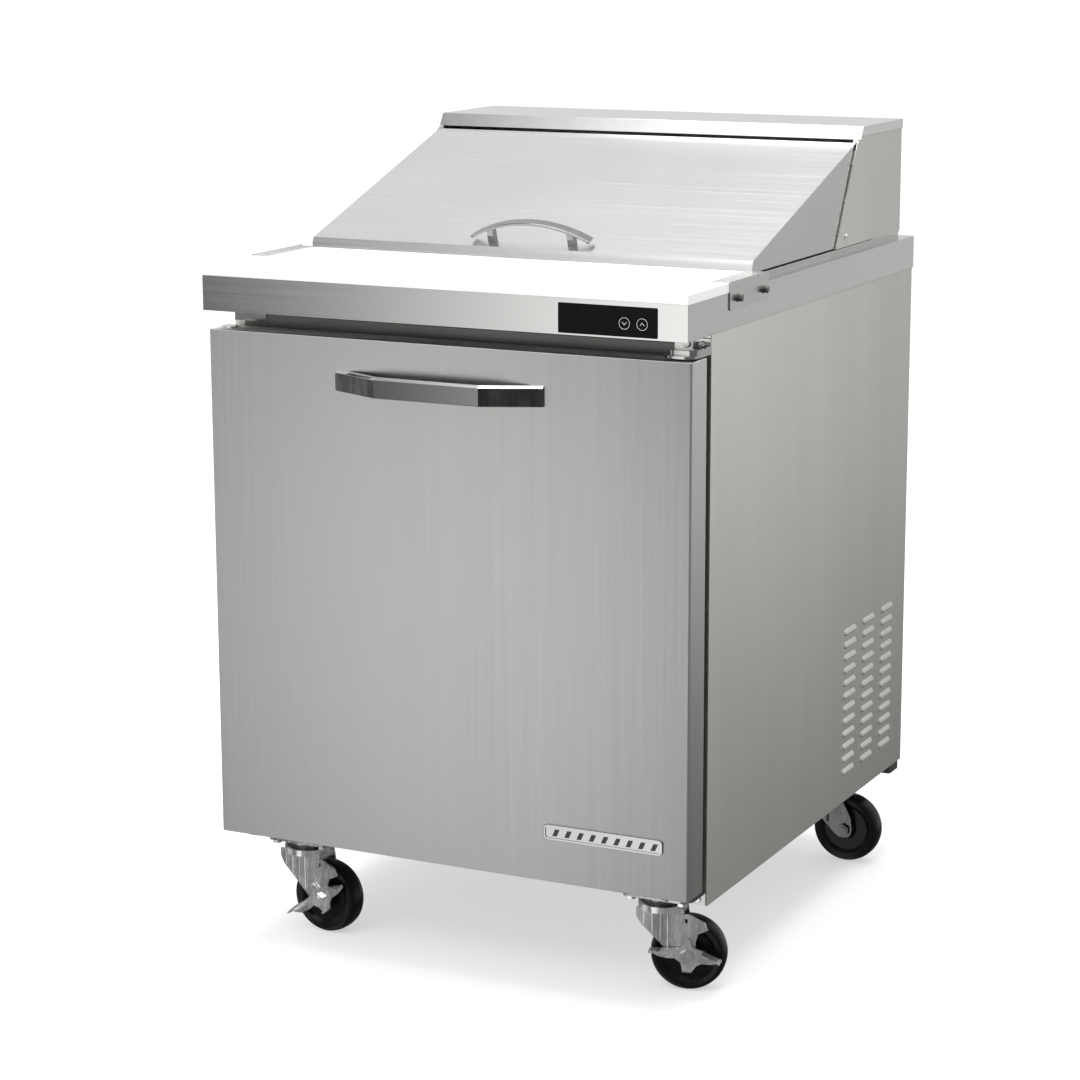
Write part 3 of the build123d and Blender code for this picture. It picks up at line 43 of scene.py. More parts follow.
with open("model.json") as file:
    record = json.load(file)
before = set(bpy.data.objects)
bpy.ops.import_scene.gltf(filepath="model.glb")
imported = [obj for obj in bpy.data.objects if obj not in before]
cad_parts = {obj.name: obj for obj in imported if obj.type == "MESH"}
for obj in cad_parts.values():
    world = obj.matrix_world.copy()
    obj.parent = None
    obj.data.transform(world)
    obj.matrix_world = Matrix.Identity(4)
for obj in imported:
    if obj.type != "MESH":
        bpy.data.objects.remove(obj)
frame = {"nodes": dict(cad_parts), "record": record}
CAD_LOW, CAD_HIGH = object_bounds()
MM = 0.001

# ---- camera ----
CAMERA_PLACE = Vector((1.77503, -3.69012, 1.41821))
CAMERA_AZIMUTH = math.radians(26.34)
CAMERA_ELEVATION = math.radians(12.33)
CAMERA_ROLL = math.radians(-0.19)
CAMERA_LENS = 98.48
CAMERA_SENSOR = 36.0

# ---- studio ----
FLOOR_RADIUS = 60.0
FLOOR_COLOUR = (0.62, 0.62, 0.618)
FLOOR_GLOW = 0.52
CARD_DARK = 0.12
CARD_BRIGHT = 1.50
CARD_LEAN = 0.05
CARD_LEFT_END = (-0.86, -0.66)
CARD_RISE = (-0.56, -0.37)
CARD_FALL = (-0.24, 0.04)
LEFT_PLAIN = 0.62
RIGHT_DARK = 0.22
HIGH_GAIN = 1.35
CEILING = 0.35
FRONT_LOW = 0.75
REAR_LOW = 0.12
REAR_LEVEL = 0.74
REAR_RIGHT = 0.88
SKY_LEVEL = 1.02
KEY_PLACE = (0.4, -3.2, 3.4)
KEY_SIZE = (2.6, 1.6)
KEY_POWER = 40.0
TOP_PLACE = (0.0, 0.4, 4.2)
TOP_SIZE = (3.0, 3.0)
TOP_POWER = 105.0

# ---- colours of the real materials, and a painted highlight ----
STEEL = (0.61, 0.607, 0.60)
STEEL_LID = (0.575, 0.575, 0.571)
STEEL_DOOR = (0.80, 0.798, 0.788)
STEEL_WARM = (0.82, 0.81, 0.775)
# Painted highlight colour for the upward edges of the dark chrome.
HANDLE_PAINTED_HIGHLIGHT = (0.86, 0.865, 0.87)
ZINC = (0.93, 0.93, 0.925)
FINE_STREAK = (1054.0, 10.0)  # cycles a metre across and along the grain
WIDE_STREAK = (173.6, 2.0)
PAINTED_SHEEN_CENTRE = (-0.04, 0.46)  # x and z of the lightest place of the painted sheen, a painted highlight
PAINTED_SHEEN_UPRIGHT = 0.6  # how much the painted sheen falls off along z against x
BADGE_RIB_DEPTH = (0.1 * MM, 1.0 * MM)  # below the rim of the door badge
NEAR_BLACK = (0.016, 0.017, 0.017)


# ---- shader helpers ----
class Shader:
    """A material with one Principled shader, and short calls for the nodes that feed it."""

    def __init__(self, name, roughness=0.5, metallic=0.0):
        self.material = bpy.data.materials.new(name)
        self.material.use_nodes = True
        self.tree = self.material.node_tree
        self.bsdf = self.tree.nodes["Principled BSDF"]
        self.bsdf.inputs["Roughness"].default_value = roughness
        self.bsdf.inputs["Metallic"].default_value = metallic

    def set(self, socket, value):
        """Set one of the shader's own sockets."""
        self.bsdf.inputs[socket].default_value = value

    def feed(self, socket, output):
        """Link an output to one of the shader's sockets."""
        self.tree.links.new(output, self.bsdf.inputs[socket])

    def node(self, kind, inputs=None, **settings):
        """Add a node, with its settings, and its inputs as values or links."""
        made = self.tree.nodes.new(kind)
        for name, value in settings.items():
            setattr(made, name, value)
        for name, value in (inputs or {}).items():
            if isinstance(value, bpy.types.NodeSocket):
                self.tree.links.new(value, made.inputs[name])
            else:
                made.inputs[name].default_value = value
        return made

    def place(self, scale=(1, 1, 1)):
        """Object coordinates in metres, stretched by scale."""
        coords = self.node("ShaderNodeTexCoord").outputs["Object"]
        return self.node("ShaderNodeMapping", {"Vector": coords, "Scale": scale}).outputs["Vector"]

    def noise(self, scale, detail=2.0, roughness=0.5, distortion=0.0):
        """Noise of so many cycles a metre along x, y and z."""
        inputs = {
            "Vector": self.place(scale),
            "Scale": 1.0,
            "Detail": detail,
            "Roughness": roughness,
            "Distortion": distortion,
        }
        return self.node("ShaderNodeTexNoise", inputs).outputs["Fac"]

    def cells(self, size, output):
        """One output of Voronoi cells, with that many cells a metre."""
        inputs = {"Vector": self.place((size, size, size)), "Scale": 1.0}
        return self.node("ShaderNodeTexVoronoi", inputs).outputs[output]

    def span(self, value, low, high, start=0.3, end=0.7):
        """Value from start to end becomes low to high."""
        inputs = {"Value": value, "From Min": start, "From Max": end, "To Min": low, "To Max": high}
        return self.node("ShaderNodeMapRange", inputs).outputs["Result"]

    def blend(self, factor, first, second):
        """Colour that goes from first to second with the factor."""
        mix = self.node("ShaderNodeMix", data_type="RGBA")
        ends = {0: factor, 6: first, 7: second}
        for index, value in ends.items():
            if isinstance(value, bpy.types.NodeSocket):
                self.tree.links.new(value, mix.inputs[index])
            elif index == 0:
                mix.inputs[index].default_value = value
            else:
                mix.inputs[index].default_value = (*value, 1.0)
        return mix.outputs[2]

    def dim(self, colour, brightness):
        """Colour, as a value or an output, multiplied by a brightness output."""
        channels = {"Red": brightness, "Green": brightness, "Blue": brightness}
        light = self.node("ShaderNodeCombineColor", channels).outputs["Color"]
        mix = self.node("ShaderNodeMix", data_type="RGBA", blend_type="MULTIPLY")
        mix.inputs[0].default_value = 1.0
        if isinstance(colour, bpy.types.NodeSocket):
            self.tree.links.new(colour, mix.inputs[6])
        else:
            mix.inputs[6].default_value = (*colour, 1.0)
        self.tree.links.new(light, mix.inputs[7])
        return mix.outputs[2]

    def maths(self, operation, first, second=0.0):
        """One math node."""
        made = self.node("ShaderNodeMath", operation=operation)
        for index, value in enumerate((first, second)):
            if isinstance(value, bpy.types.NodeSocket):
                self.tree.links.new(value, made.inputs[index])
            else:
                made.inputs[index].default_value = value
        return made.outputs[0]

    def bump(self, height, strength, distance):
        """Relief of that distance in metres, on the shader's normal."""
        inputs = {"Height": height, "Strength": strength, "Distance": distance}
        self.feed("Normal", self.node("ShaderNodeBump", inputs).outputs["Normal"])


def shade(colour, factor):
    """Colour made darker or lighter by a factor."""
    return tuple(min(1.0, channel * factor) for channel in colour)


# ---- materials ----
def brushed_steel(name, colour, roughness, grain, contrast, stretch=0.6, axis="Z", painted_sheen=0.0):
    """Brushed stainless steel: fine streaks along one axis, broad faint clouding, and a painted sheen.

    The painted sheen is a painted highlight: it darkens the faces that look along Y, away from its
    lightest place.
    """
    s = Shader(name, roughness, 1.0)
    fine = [FINE_STREAK[0] if letter != grain else FINE_STREAK[1] for letter in "XYZ"]
    wide = [WIDE_STREAK[0] if letter != grain else WIDE_STREAK[1] for letter in "XYZ"]
    streaks = s.maths("ADD", s.noise(fine, 3.0, 0.7), s.noise(wide, 2.0, 0.6))
    streaks = s.maths("MULTIPLY", streaks, 0.5)
    clouds = s.noise((2.1, 2.1, 2.1), 2.0, 0.55)
    tone = s.span(streaks, 1.0 - contrast, 1.0 + contrast)
    tone = s.maths("MULTIPLY", tone, s.span(clouds, 0.965, 1.03))
    # Painted highlight: faces that look along Y are painted darker the farther they are from the sheen's
    # lightest place.
    if painted_sheen:
        x, _, z = s.node("ShaderNodeSeparateXYZ", {"Vector": s.place()}).outputs
        across_x = s.maths("POWER", s.maths("SUBTRACT", x, PAINTED_SHEEN_CENTRE[0]), 2.0)
        across_z = s.maths("POWER", s.maths("SUBTRACT", z, PAINTED_SHEEN_CENTRE[1]), 2.0)
        away = s.maths("ADD", across_x, s.maths("MULTIPLY", across_z, PAINTED_SHEEN_UPRIGHT))
        normal = s.node("ShaderNodeTexCoord").outputs["Normal"]
        facing = s.maths("ABSOLUTE", s.node("ShaderNodeSeparateXYZ", {"Vector": normal}).outputs["Y"])
        tone = s.maths("SUBTRACT", tone, s.maths("MULTIPLY", s.maths("MULTIPLY", away, facing), painted_sheen))
    s.feed("Base Color", s.dim(colour, tone))
    haze = s.span(clouds, roughness - 0.015, roughness + 0.015)
    s.feed("Roughness", s.maths("ADD", s.span(streaks, -0.05, 0.05), haze))
    s.set("Anisotropic", stretch)
    tangent = s.node("ShaderNodeTangent", direction_type="RADIAL", axis=axis)
    s.feed("Tangent", tangent.outputs["Tangent"])
    s.bump(streaks, 0.25, 0.00004)
    return s.material


def satin_steel(name, colour, roughness, speckle, metallic=1.0, painted_rear_shade=0.0):
    """Fine matte steel sheet: even speckle with faint vertical drift, and an optional painted shade that
    darkens it toward the rear.
    """
    s = Shader(name, roughness, metallic)
    grain = s.noise((900.0, 900.0, 500.0), 3.0, 0.7)
    drift = s.noise((9.0, 9.0, 1.6), 3.0, 0.6)
    tone = s.maths("ADD", s.span(grain, -speckle, speckle), s.span(drift, -0.02, 0.02))
    warm = s.blend(s.span(drift, 0.0, 1.0), shade(colour, 0.97), colour)
    bright = s.maths("ADD", tone, 1.0)
    # Painted shade: the colour darkens with depth toward the rear.
    if painted_rear_shade:
        depth = s.node("ShaderNodeSeparateXYZ", {"Vector": s.place()}).outputs["Y"]
        bright = s.maths("SUBTRACT", bright, s.maths("MULTIPLY", depth, painted_rear_shade))
    s.feed("Base Color", s.dim(warm, bright))
    s.feed("Roughness", s.span(grain, roughness - 0.05, roughness + 0.05))
    s.bump(grain, 0.2, 0.00005)
    return s.material


def polished_metal(name, colour, roughness, haze=0.03):
    """Plated or polished metal: smooth, with a faint haze and handling marks."""
    s = Shader(name, roughness, 1.0)
    marks = s.noise((60.0, 60.0, 60.0), 4.0, 0.65)
    wipe = s.noise((420.0, 30.0, 30.0), 2.0, 0.5)
    s.feed("Base Color", s.blend(s.span(marks, 0.0, 1.0), shade(colour, 0.94), colour))
    hazed = s.span(marks, roughness, roughness + haze)
    s.feed("Roughness", s.maths("ADD", hazed, s.span(wipe, 0.0, haze / 2)))
    return s.material


def faceted_chrome(name, colour, painted_highlight_colour):
    """Dark chrome with painted light: painted highlights on the upward edges, painted shade on the end
    facets, and a painted reflection across the front facet that lightens to the right.
    """
    s = Shader(name, 0.06, 1.0)
    normal = s.node("ShaderNodeTexCoord").outputs["Normal"]
    sideways, _, upward = s.node("ShaderNodeSeparateXYZ", {"Vector": normal}).outputs
    # Painted highlight: faces turned upward take the highlight colour.
    painted_highlight = s.span(upward, 0.0, 1.0, 0.25, 0.45)
    # Painted shade mask: the facets turned sideways.
    painted_shade_facet = s.maths("GREATER_THAN", s.maths("ABSOLUTE", sideways), 0.12)
    # Painted reflection: the front facet goes from darker to lighter toward the right.
    across = s.node("ShaderNodeSeparateXYZ", {"Vector": s.place()}).outputs["X"]
    painted_front_gradient = s.blend(s.span(across, 0.0, 1.0, -0.10, 0.07), shade(colour, 0.85), shade(colour, 1.45))
    ripple = s.noise((70.0, 20.0, 20.0), 3.0, 0.55)
    # Painted shade: the end facets are mottled between half and full colour.
    ends = s.blend(s.span(ripple, 0.0, 1.0, 0.35, 0.65), shade(colour, 0.5), shade(colour, 1.05))
    s.feed("Base Color", s.blend(painted_highlight, s.blend(painted_shade_facet, painted_front_gradient, ends), painted_highlight_colour))
    s.feed("Roughness", s.span(ripple, 0.04, 0.09))
    return s.material


def ribbed_badge(name, colour, rib_colour):
    """Polished plate whose raised ribs, a little below its rim, are painted dark."""
    s = Shader(name, 0.08, 1.0)
    marks = s.noise((60.0, 60.0, 60.0), 4.0, 0.65)
    depth = s.node("ShaderNodeSeparateXYZ", {"Vector": s.place()}).outputs["Y"]
    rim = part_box("door_badge")[0].y
    below_rim = s.maths("GREATER_THAN", depth, rim + BADGE_RIB_DEPTH[0])
    above_field = s.maths("LESS_THAN", depth, rim + BADGE_RIB_DEPTH[1])
    rib = s.maths("MULTIPLY", below_rim, above_field)
    s.feed("Base Color", s.blend(rib, colour, rib_colour))
    s.feed("Roughness", s.span(marks, 0.07, 0.12))
    return s.material


def zinc_plate(name, colour, metallic):
    """Bright zinc plating on pressed steel: small spangle, uneven gloss, rippled reflections from a fine
    relief, and painted reflections as a light and dark mottle in the colour.
    """
    s = Shader(name, 0.2, metallic)
    level = s.node("ShaderNodeSeparateColor", {"Color": s.cells(420, "Color")}).outputs["Red"]
    painted_reflection_and_gloss_mottle = s.noise((38.0, 38.0, 12.0), 4.0, 0.6)
    # Painted reflections: the colour is mottled between a darker zinc and the full zinc colour; the same
    # mottle varies the gloss.
    s.feed("Base Color", s.blend(s.span(painted_reflection_and_gloss_mottle, 0.0, 1.0, 0.38, 0.62), shade(colour, 0.62), colour))
    s.feed("Roughness", s.maths("ADD", s.span(level, 0.10, 0.16, 0.0, 1.0), s.span(painted_reflection_and_gloss_mottle, 0.0, 0.08)))
    s.bump(s.noise((120.0, 120.0, 45.0), 3.0, 0.6), 0.5, 0.0012)
    return s.material


def galvanised_sheet(name):
    """Galvanised sheet: large crystal spangle."""
    s = Shader(name, 0.42, 0.9)
    level = s.node("ShaderNodeSeparateColor", {"Color": s.cells(75, "Color")}).outputs["Green"]
    s.feed("Base Color", s.blend(level, (0.50, 0.51, 0.52), (0.62, 0.63, 0.64)))
    s.feed("Roughness", s.span(level, 0.34, 0.50, 0.0, 1.0))
    return s.material


def moulded(name, colour, roughness, texture=240.0, relief=0.00004, spread=0.08, shine=0.5):
    """Moulded plastic, rubber or enamel: fine orange-peel relief and uneven tone."""
    s = Shader(name, roughness)
    peel = s.noise((texture, texture, texture), 3.0, 0.6)
    tone = s.noise((7.0, 7.0, 7.0), 3.0, 0.6)
    low, high = shade(colour, 1 - spread), shade(colour, 1 + spread)
    s.feed("Base Color", s.blend(s.span(tone, 0.0, 1.0), low, high))
    s.feed("Roughness", s.span(peel, roughness - 0.05, roughness + 0.05))
    s.set("Specular IOR Level", shine)
    s.bump(peel, 0.35, relief)
    return s.material


def board_plastic(name):
    """Food-grade board: white, finely pebbled, with faint knife marks."""
    s = Shader(name, 0.42)
    pebble = s.noise((900.0, 900.0, 900.0), 2.0, 0.5)
    cuts = s.noise((34.0, 700.0, 20.0), 2.0, 0.5, 0.6)
    tone = s.noise((5.0, 5.0, 5.0), 3.0, 0.6)
    s.feed("Base Color", s.blend(s.span(tone, 0.0, 1.0), (0.86, 0.862, 0.86), (0.92, 0.921, 0.92)))
    s.feed("Roughness", s.span(pebble, 0.36, 0.50))
    height = s.maths("ADD", pebble, s.maths("MULTIPLY", cuts, 0.6))
    s.bump(height, 0.25, 0.00006)
    s.set("Subsurface Weight", 0.08)
    s.set("Subsurface Radius", (0.004, 0.004, 0.004))
    return s.material


def foam_core(name):
    """Foamed-in-place insulation: pale yellow, open-celled on its cut faces."""
    s = Shader(name, 0.9)
    tone = s.noise((12.0, 12.0, 12.0), 4.0, 0.6)
    s.feed("Base Color", s.blend(s.span(tone, 0.0, 1.0), (0.74, 0.62, 0.36), (0.86, 0.77, 0.52)))
    s.bump(s.cells(650, "Distance"), 0.5, 0.0006)
    return s.material


def circuit_board(name):
    """Green solder mask with a faint weave."""
    s = Shader(name, 0.35)
    weave = s.node("ShaderNodeTexWave", {"Vector": s.place((900, 900, 900)), "Scale": 1.0}).outputs["Fac"]
    s.feed("Base Color", s.blend(weave, (0.02, 0.16, 0.07), (0.03, 0.22, 0.10)))
    s.bump(weave, 0.2, 0.00003)
    return s.material


MATERIALS = {
    "stainless_brushed": brushed_steel("stainless_brushed", STEEL, 0.26, "Z", 0.03, 0.5),
    # The door carries a painted sheen, a painted highlight that is lightest near the centre of its front.
    "stainless_door": brushed_steel("stainless_door", STEEL_DOOR, 0.38, "Z", 0.045, 0.8, painted_sheen=1.6),
    "stainless_lid": brushed_steel("stainless_lid", STEEL_LID, 0.24, "X", 0.015, 0.3, "X"),
    "stainless_counter": brushed_steel("stainless_counter", STEEL, 0.13, "X", 0.015, 0.5, "X"),
    # This steel carries painted shade, darker toward the rear.
    "stainless_panel": satin_steel("stainless_panel", STEEL_WARM, 0.36, 0.05, painted_rear_shade=0.48),
    "stainless_pan": satin_steel("stainless_pan", (0.52, 0.52, 0.516), 0.32, 0.03, 0.85),
    "stainless_bright": polished_metal("stainless_bright", (0.74, 0.74, 0.735), 0.05, 0.04),
    "hinge_polished": polished_metal("hinge_polished", (0.46, 0.465, 0.455), 0.08, 0.06),
    "chrome_dark": faceted_chrome("chrome_dark", (0.16, 0.162, 0.16), HANDLE_PAINTED_HIGHLIGHT),
    "chrome_badge": ribbed_badge("chrome_badge", (0.50, 0.502, 0.50), (0.05, 0.05, 0.052)),
    "chrome_soft": polished_metal("chrome_soft", (0.30, 0.302, 0.305), 0.06, 0.04),
    "steel_dark": polished_metal("steel_dark", (0.22, 0.22, 0.21), 0.22, 0.10),
    "zinc": zinc_plate("zinc", ZINC, 0.82),
    # Painted shade: darker copies of the zinc, at half and at about a tenth of its brightness.
    "zinc_shaded": zinc_plate("zinc_shaded", shade(ZINC, 0.5), 0.9),
    "zinc_painted_deep_shade": zinc_plate("zinc_painted_deep_shade", shade(ZINC, 0.13), 0.9),
    "galvanised": galvanised_sheet("galvanised"),
    "frame_dark": satin_steel("frame_dark", (0.25, 0.25, 0.24), 0.36, 0.04, 0.35),
    "board_white": board_plastic("board_white"),
    "panel_black": moulded("panel_black", (0.0035, 0.0037, 0.004), 0.14, 60.0, 0.00001, 0.05, 0.06),
    "circuit_green": circuit_board("circuit_green"),
    "gasket_black": moulded("gasket_black", (0.020, 0.020, 0.020), 0.55, 300.0),
    "rubber_black": moulded("rubber_black", (0.030, 0.030, 0.029), 0.62, 350.0),
    "wheel_black": moulded("wheel_black", (0.004, 0.004, 0.0045), 0.30, 200.0, 0.00008, 0.2, 0.20),
    "plastic_black": moulded("plastic_black", (0.030, 0.030, 0.031), 0.45),
    "plastic_white": moulded("plastic_white", (0.80, 0.805, 0.80), 0.40, 180.0, 0.00005, 0.02),
    "foam": foam_core("foam"),
    "liner_aluminium": satin_steel("liner_aluminium", (0.78, 0.785, 0.79), 0.32, 0.03),
    "fins_aluminium": satin_steel("fins_aluminium", (0.72, 0.73, 0.74), 0.36, 0.04),
    "compressor_black": moulded("compressor_black", NEAR_BLACK, 0.28, 90.0, 0.00008, 0.1),
    "copper": polished_metal("copper", (0.78, 0.42, 0.28), 0.22, 0.10),
    "liner_white": moulded("liner_white", (0.50, 0.505, 0.50), 0.45, 150.0, 0.00008, 0.03, 0.3),
    "wire_white": moulded("wire_white", (0.80, 0.80, 0.79), 0.38, 400.0, 0.00003, 0.02),
}

NODE_MATERIAL = {
    "door_skin": "stainless_door",
    "countertop": "stainless_counter",
    "lid_shell": "stainless_lid",
    "lid_handle": "chrome_soft",
    "food_pans": "stainless_pan",
    "lid_liner": "liner_white",
    # The rear forks and the caster plates take the darker, painted-shade copies of the zinc.
    "rear_right_fork": "zinc_painted_deep_shade",
    "rear_left_fork": "zinc_painted_deep_shade",
    "door_handle": "chrome_dark",
    "door_badge": "chrome_badge",
    "hinge_plates": "hinge_polished",
    "caster_plates": "zinc_shaded",
}


def paint_nodes():
    """Give every CAD node the material of its slot in the record."""
    slots = {part["node"]: part["material_slot"] for part in frame["record"]["subparts"]}
    for name, obj in frame["nodes"].items():
        material = MATERIALS[NODE_MATERIAL.get(name, slots[name])]
        for slot in obj.material_slots:
            slot.material = material


# ---- edges ----
SHARP_ANGLE = math.radians(32.0)
FACET_ANGLE = math.radians(12.0)  # for parts whose facets meet at shallow angles


def tidy_normals_group(sharp_angle):
    """Modifier that merges the seams of an imported mesh and marks its sharp edges by angle."""
    group = bpy.data.node_groups.new("tidy_normals", "GeometryNodeTree")
    group.interface.new_socket("Geometry", in_out="INPUT", socket_type="NodeSocketGeometry")
    group.interface.new_socket("Geometry", in_out="OUTPUT", socket_type="NodeSocketGeometry")
    start = group.nodes.new("NodeGroupInput")
    end = group.nodes.new("NodeGroupOutput")
    merge = group.nodes.new("GeometryNodeMergeByDistance")
    merge.inputs["Distance"].default_value = 1e-6
    normals = group.nodes.new("GeometryNodeSetMeshNormal")
    normals.mode = "SHARPNESS"
    normals.inputs["Remove Custom"].default_value = True
    angle = group.nodes.new("GeometryNodeInputMeshEdgeAngle")
    sharp = group.nodes.new("FunctionNodeCompare")
    sharp.operation = "GREATER_THAN"
    sharp.inputs[1].default_value = sharp_angle
    group.links.new(start.outputs[0], merge.inputs["Geometry"])
    group.links.new(merge.outputs["Geometry"], normals.inputs["Mesh"])
    group.links.new(angle.outputs["Unsigned Angle"], sharp.inputs[0])
    group.links.new(sharp.outputs[0], normals.inputs["Edge Sharpness"])
    group.links.new(normals.outputs["Mesh"], end.inputs[0])
    return group


def soften(obj, width, segments=2, faceted=False):
    """Round an object's sharp edges by width, in metres."""
    tidy = obj.modifiers.new("tidy", "NODES")
    tidy.node_group = TIDY_FACETS if faceted else TIDY_NORMALS
    bevel = obj.modifiers.new("bevel", "BEVEL")
    bevel.width = width
    bevel.segments = segments
    bevel.limit_method = "ANGLE"
    bevel.angle_limit = FACET_ANGLE if faceted else SHARP_ANGLE
    bevel.miter_outer = "MITER_ARC"
    bevel.harden_normals = True


# Roundings of the edges, in millimetres.
EDGE_WIDTHS = {
    "door_skin": 0.5,
    "countertop": 0.5,
    "hood_top_cover": 0.5,
    "hood_housing": 0.4,
    "lid_shell": 0.45,
    "right_side_panel": 0.4,
    "left_side_panel": 0.4,
    "back_panel": 0.4,
    "cutting_board": 1.2,
    "board_brackets": 0.4,
    "control_panel": 0.35,
    "door_handle": 0.4,
    "door_liner": 1.5,
    "inner_liner": 0.5,
    "rear_bumpers": 1.0,
    "hinge_plates": 0.4,
    "evaporator_shroud": 0.5,
    "caster_plates": 0.5,
    "caster_bolts": 0.35,
    "front_right_fork": 0.45,
    "front_left_fork": 0.45,
    "rear_right_fork": 0.45,
    "rear_left_fork": 0.45,
    "front_right_brake": 0.4,
    "front_left_brake": 0.4,
}

FACETED = ("door_handle",)

TIDY_NORMALS = tidy_normals_group(SHARP_ANGLE)
TIDY_FACETS = tidy_normals_group(FACET_ANGLE)


def soften_nodes():
    """Round the edges of the sheet-metal and moulded nodes."""
    for name, width in EDGE_WIDTHS.items():
        soften(frame["nodes"][name], width * MM, faceted=name in FACETED)


# ---- studio ----
def add_camera():
    """Camera at the height and angle that show the front, the right side and the top."""
    data = bpy.data.cameras.new("camera")
    data.lens = CAMERA_LENS
    data.sensor_width = CAMERA_SENSOR
    data.clip_start = 0.05
    data.clip_end = 200.0
    camera = bpy.data.objects.new("camera", data)
    bpy.context.scene.collection.objects.link(camera)
    across = math.cos(CAMERA_ELEVATION)
    back = Vector(
        (math.sin(CAMERA_AZIMUTH) * across, -math.cos(CAMERA_AZIMUTH) * across, math.sin(CAMERA_ELEVATION))
    )
    camera.location = CAMERA_PLACE
    camera.rotation_mode = "QUATERNION"
    facing = (-back).to_track_quat("-Z", "Y").to_matrix()
    camera.rotation_quaternion = (facing @ Matrix.Rotation(CAMERA_ROLL, 3, "Z")).to_quaternion()
    bpy.context.scene.camera = camera


def add_floor():
    """Large pale floor that fills the view."""
    mesh = bpy.data.meshes.new("floor")
    bm = bmesh.new()
    bmesh.ops.create_circle(bm, cap_ends=True, segments=96, radius=FLOOR_RADIUS)
    bm.to_mesh(mesh)
    bm.free()
    floor = bpy.data.objects.new("floor", mesh)
    bpy.context.scene.collection.objects.link(floor)
    s = Shader("floor", 0.85)
    grain = s.noise((30.0, 30.0, 30.0), 3.0, 0.6)
    s.feed("Base Color", s.blend(s.span(grain, 0.0, 1.0), shade(FLOOR_COLOUR, 0.995), FLOOR_COLOUR))
    s.set("Specular IOR Level", 0.0)
    s.set("Emission Color", (1.0, 1.0, 1.0, 1.0))
    s.set("Emission Strength", FLOOR_GLOW)
    mesh.materials.append(s.material)
    floor.visible_glossy = False


def add_world():
    """Soft studio surroundings, by direction.

    Across the front: a plain far left, a dark and a bright upright card, then a dim right.
    Behind: dim and low. Straight up: a brighter ceiling.
    """
    world = bpy.data.worlds.new("studio")
    world.use_nodes = True
    bpy.context.scene.world = world
    tree = world.node_tree
    background = tree.nodes["Background"]

    def maths(operation, first, second=0.0):
        made = tree.nodes.new("ShaderNodeMath")
        made.operation = operation
        for index, value in enumerate((first, second)):
            if isinstance(value, bpy.types.NodeSocket):
                tree.links.new(value, made.inputs[index])
            else:
                made.inputs[index].default_value = value
        return made.outputs[0]

    def ramp(value, start, end, low, high):
        made = tree.nodes.new("ShaderNodeMapRange")
        made.interpolation_type = "SMOOTHSTEP"
        tree.links.new(value, made.inputs["Value"])
        for socket, number in zip(("From Min", "From Max", "To Min", "To Max"), (start, end, low, high)):
            made.inputs[socket].default_value = number
        return made.outputs["Result"]

    coords = tree.nodes.new("ShaderNodeTexCoord").outputs["Generated"]
    parts = tree.nodes.new("ShaderNodeSeparateXYZ")
    tree.links.new(coords, parts.inputs["Vector"])
    x, y, z = parts.outputs
    in_front = ramp(y, -0.15, 0.15, 1.0, 0.0)
    behind = maths("SUBTRACT", 1.0, in_front)
    across = maths("SUBTRACT", x, maths("MULTIPLY", z, CARD_LEAN))
    card = ramp(across, *CARD_RISE, CARD_DARK, CARD_BRIGHT)
    card = maths("ADD", card, ramp(across, *CARD_FALL, 0.0, RIGHT_DARK - CARD_BRIGHT))
    card = maths("ADD", card, ramp(across, *CARD_LEFT_END, LEFT_PLAIN - CARD_DARK, 0.0))
    front_light = maths("MULTIPLY", card, ramp(z, -0.55, -0.12, FRONT_LOW, 1.0))
    front_light = maths("MULTIPLY", front_light, ramp(z, 0.2, 0.6, 1.0, HIGH_GAIN))
    rear_light = ramp(z, -0.33, -0.13, REAR_LOW, REAR_LEVEL)
    rear_light = maths("MULTIPLY", rear_light, ramp(x, -0.2, 0.2, 1.0, REAR_RIGHT))
    rear_light = maths("ADD", rear_light, ramp(z, 0.25, 0.65, 0.0, SKY_LEVEL - REAR_LEVEL))
    light = maths("MULTIPLY", front_light, in_front)
    light = maths("ADD", light, maths("MULTIPLY", rear_light, behind))
    light = maths("ADD", light, ramp(z, 0.83, 0.92, 0.0, CEILING))
    tree.links.new(light, background.inputs["Strength"])
    background.inputs["Color"].default_value = (1.0, 0.998, 0.99, 1.0)


def add_area(name, place, target, size, power):
    """Rectangular soft light that points at a target."""
    data = bpy.data.lights.new(name, "AREA")
    data.shape = "RECTANGLE"
    data.size, data.size_y = size
    data.energy = power
    light = bpy.data.objects.new(name, data)
    light.location = place
    light.rotation_mode = "QUATERNION"
    light.rotation_quaternion = (Vector(target) - Vector(place)).to_track_quat("-Z", "Y")
    bpy.context.scene.collection.objects.link(light)


def add_studio():
    """Camera, floor, surroundings and lights."""
    add_camera()
    add_floor()
    add_world()
    centre = (CAD_LOW + CAD_HIGH) / 2
    add_area("key", KEY_PLACE, centre, KEY_SIZE, KEY_POWER)
    add_area("top", TOP_PLACE, centre, TOP_SIZE, TOP_POWER)
    view = bpy.context.scene.view_settings
    view.view_transform = "Standard"
    view.look = "None"


# ---- control keys ----
KEY_LINE = 0.45 * MM
KEY_RING = 7.2 * MM
KEY_RISE = 0.12 * MM
KEY_CHEVRON = 3.0 * MM


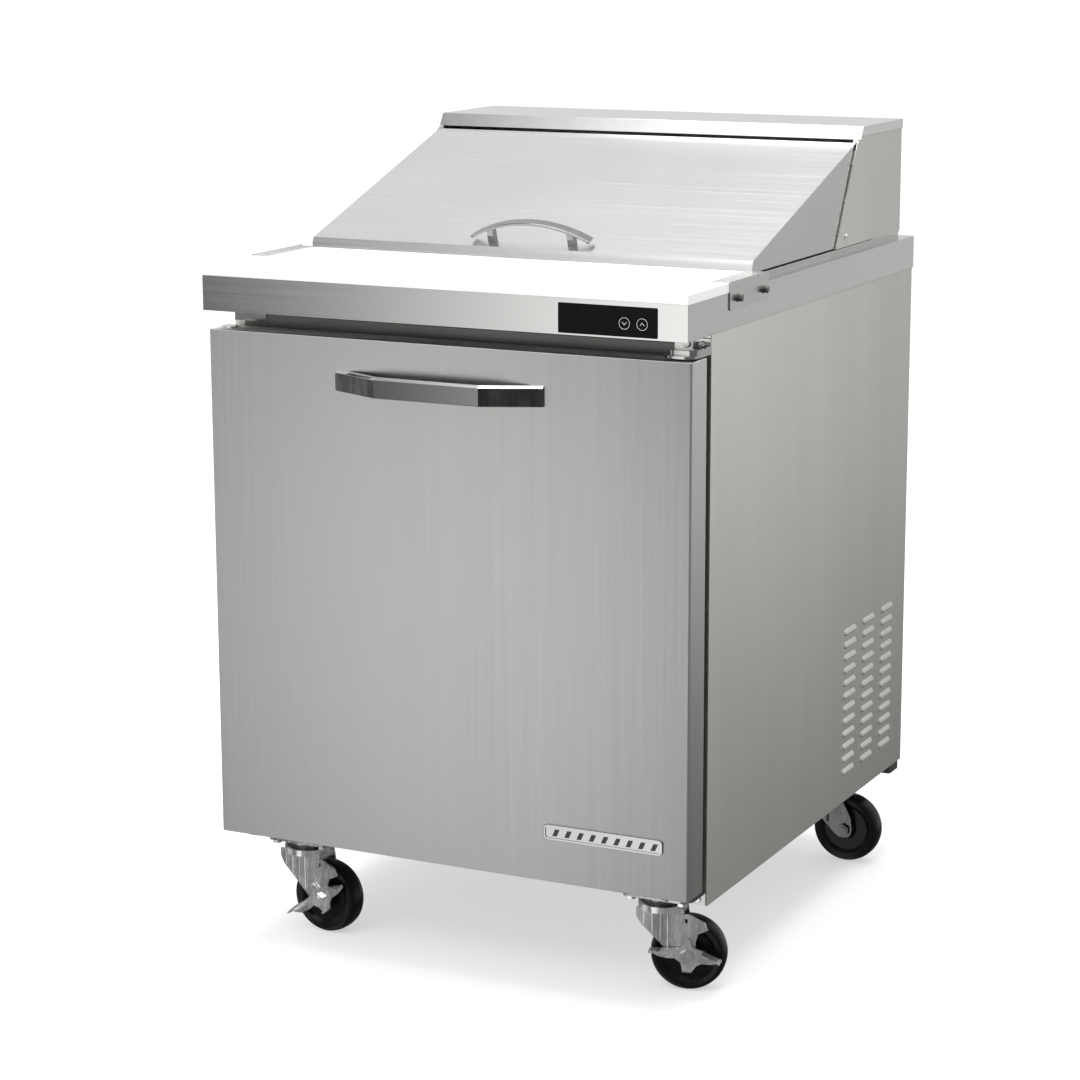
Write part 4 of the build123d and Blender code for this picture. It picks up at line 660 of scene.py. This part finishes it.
def line_band(bm, points, width, y, closed=False):
    """Flat raised line of a given width through points in x and z, facing the front."""
    count = len(points)
    rows = []
    for index, point in enumerate(points):
        before = points[index - 1] if closed or index else point
        after = points[(index + 1) % count] if closed or index < count - 1 else point
        first = (point - before).normalized() if point != before else (after - point).normalized()
        second = (after - point).normalized() if after != point else first
        way = (first + second).normalized()
        side = Vector((-way.y, way.x)) * (width / 2 / max(0.4, way.dot(second)))
        inner = point - side
        outer = point + side
        rows.append(
            [
                bm.verts.new((inner.x, y, inner.y)),
                bm.verts.new((inner.x, y - KEY_RISE, inner.y)),
                bm.verts.new((outer.x, y - KEY_RISE, outer.y)),
                bm.verts.new((outer.x, y, outer.y)),
            ]
        )
    spans = count if closed else count - 1
    for index in range(spans):
        a, b = rows[index], rows[(index + 1) % count]
        for k in range(4):
            bm.faces.new((a[k], a[(k + 1) % 4], b[(k + 1) % 4], b[k]))
    if not closed:
        bm.faces.new(rows[0])
        bm.faces.new(list(reversed(rows[-1])))


def key_mark(node, body, up):
    """White ring with a chevron, on the face of a key."""
    low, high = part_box(node)
    centre = Vector(((low.x + high.x) / 2, (low.z + high.z) / 2))
    bm = bmesh.new()
    steps = 48
    ring = [
        centre + Vector((math.cos(k * math.tau / steps), math.sin(k * math.tau / steps))) * KEY_RING
        for k in range(steps)
    ]
    line_band(bm, ring, KEY_LINE, low.y, closed=True)
    rise = KEY_CHEVRON if up else -KEY_CHEVRON
    chevron = [
        centre + Vector((-KEY_CHEVRON, -rise * 0.5)),
        centre + Vector((0.0, rise * 0.6)),
        centre + Vector((KEY_CHEVRON, -rise * 0.5)),
    ]
    line_band(bm, chevron, KEY_LINE * 1.3, low.y)
    bmesh.ops.recalc_face_normals(bm, faces=bm.faces)
    mesh = bpy.data.meshes.new(f"{node}_mark")
    bm.to_mesh(mesh)
    bm.free()
    mesh.materials.append(MATERIALS["plastic_white"])
    mark = bpy.data.objects.new(f"{node}_mark", mesh)
    bpy.context.scene.collection.objects.link(mark)
    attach(mark, body)


paint_nodes()
soften_nodes()
key_mark("key_down", "down_key", up=False)
key_mark("key_up", "up_key", up=True)
add_studio()
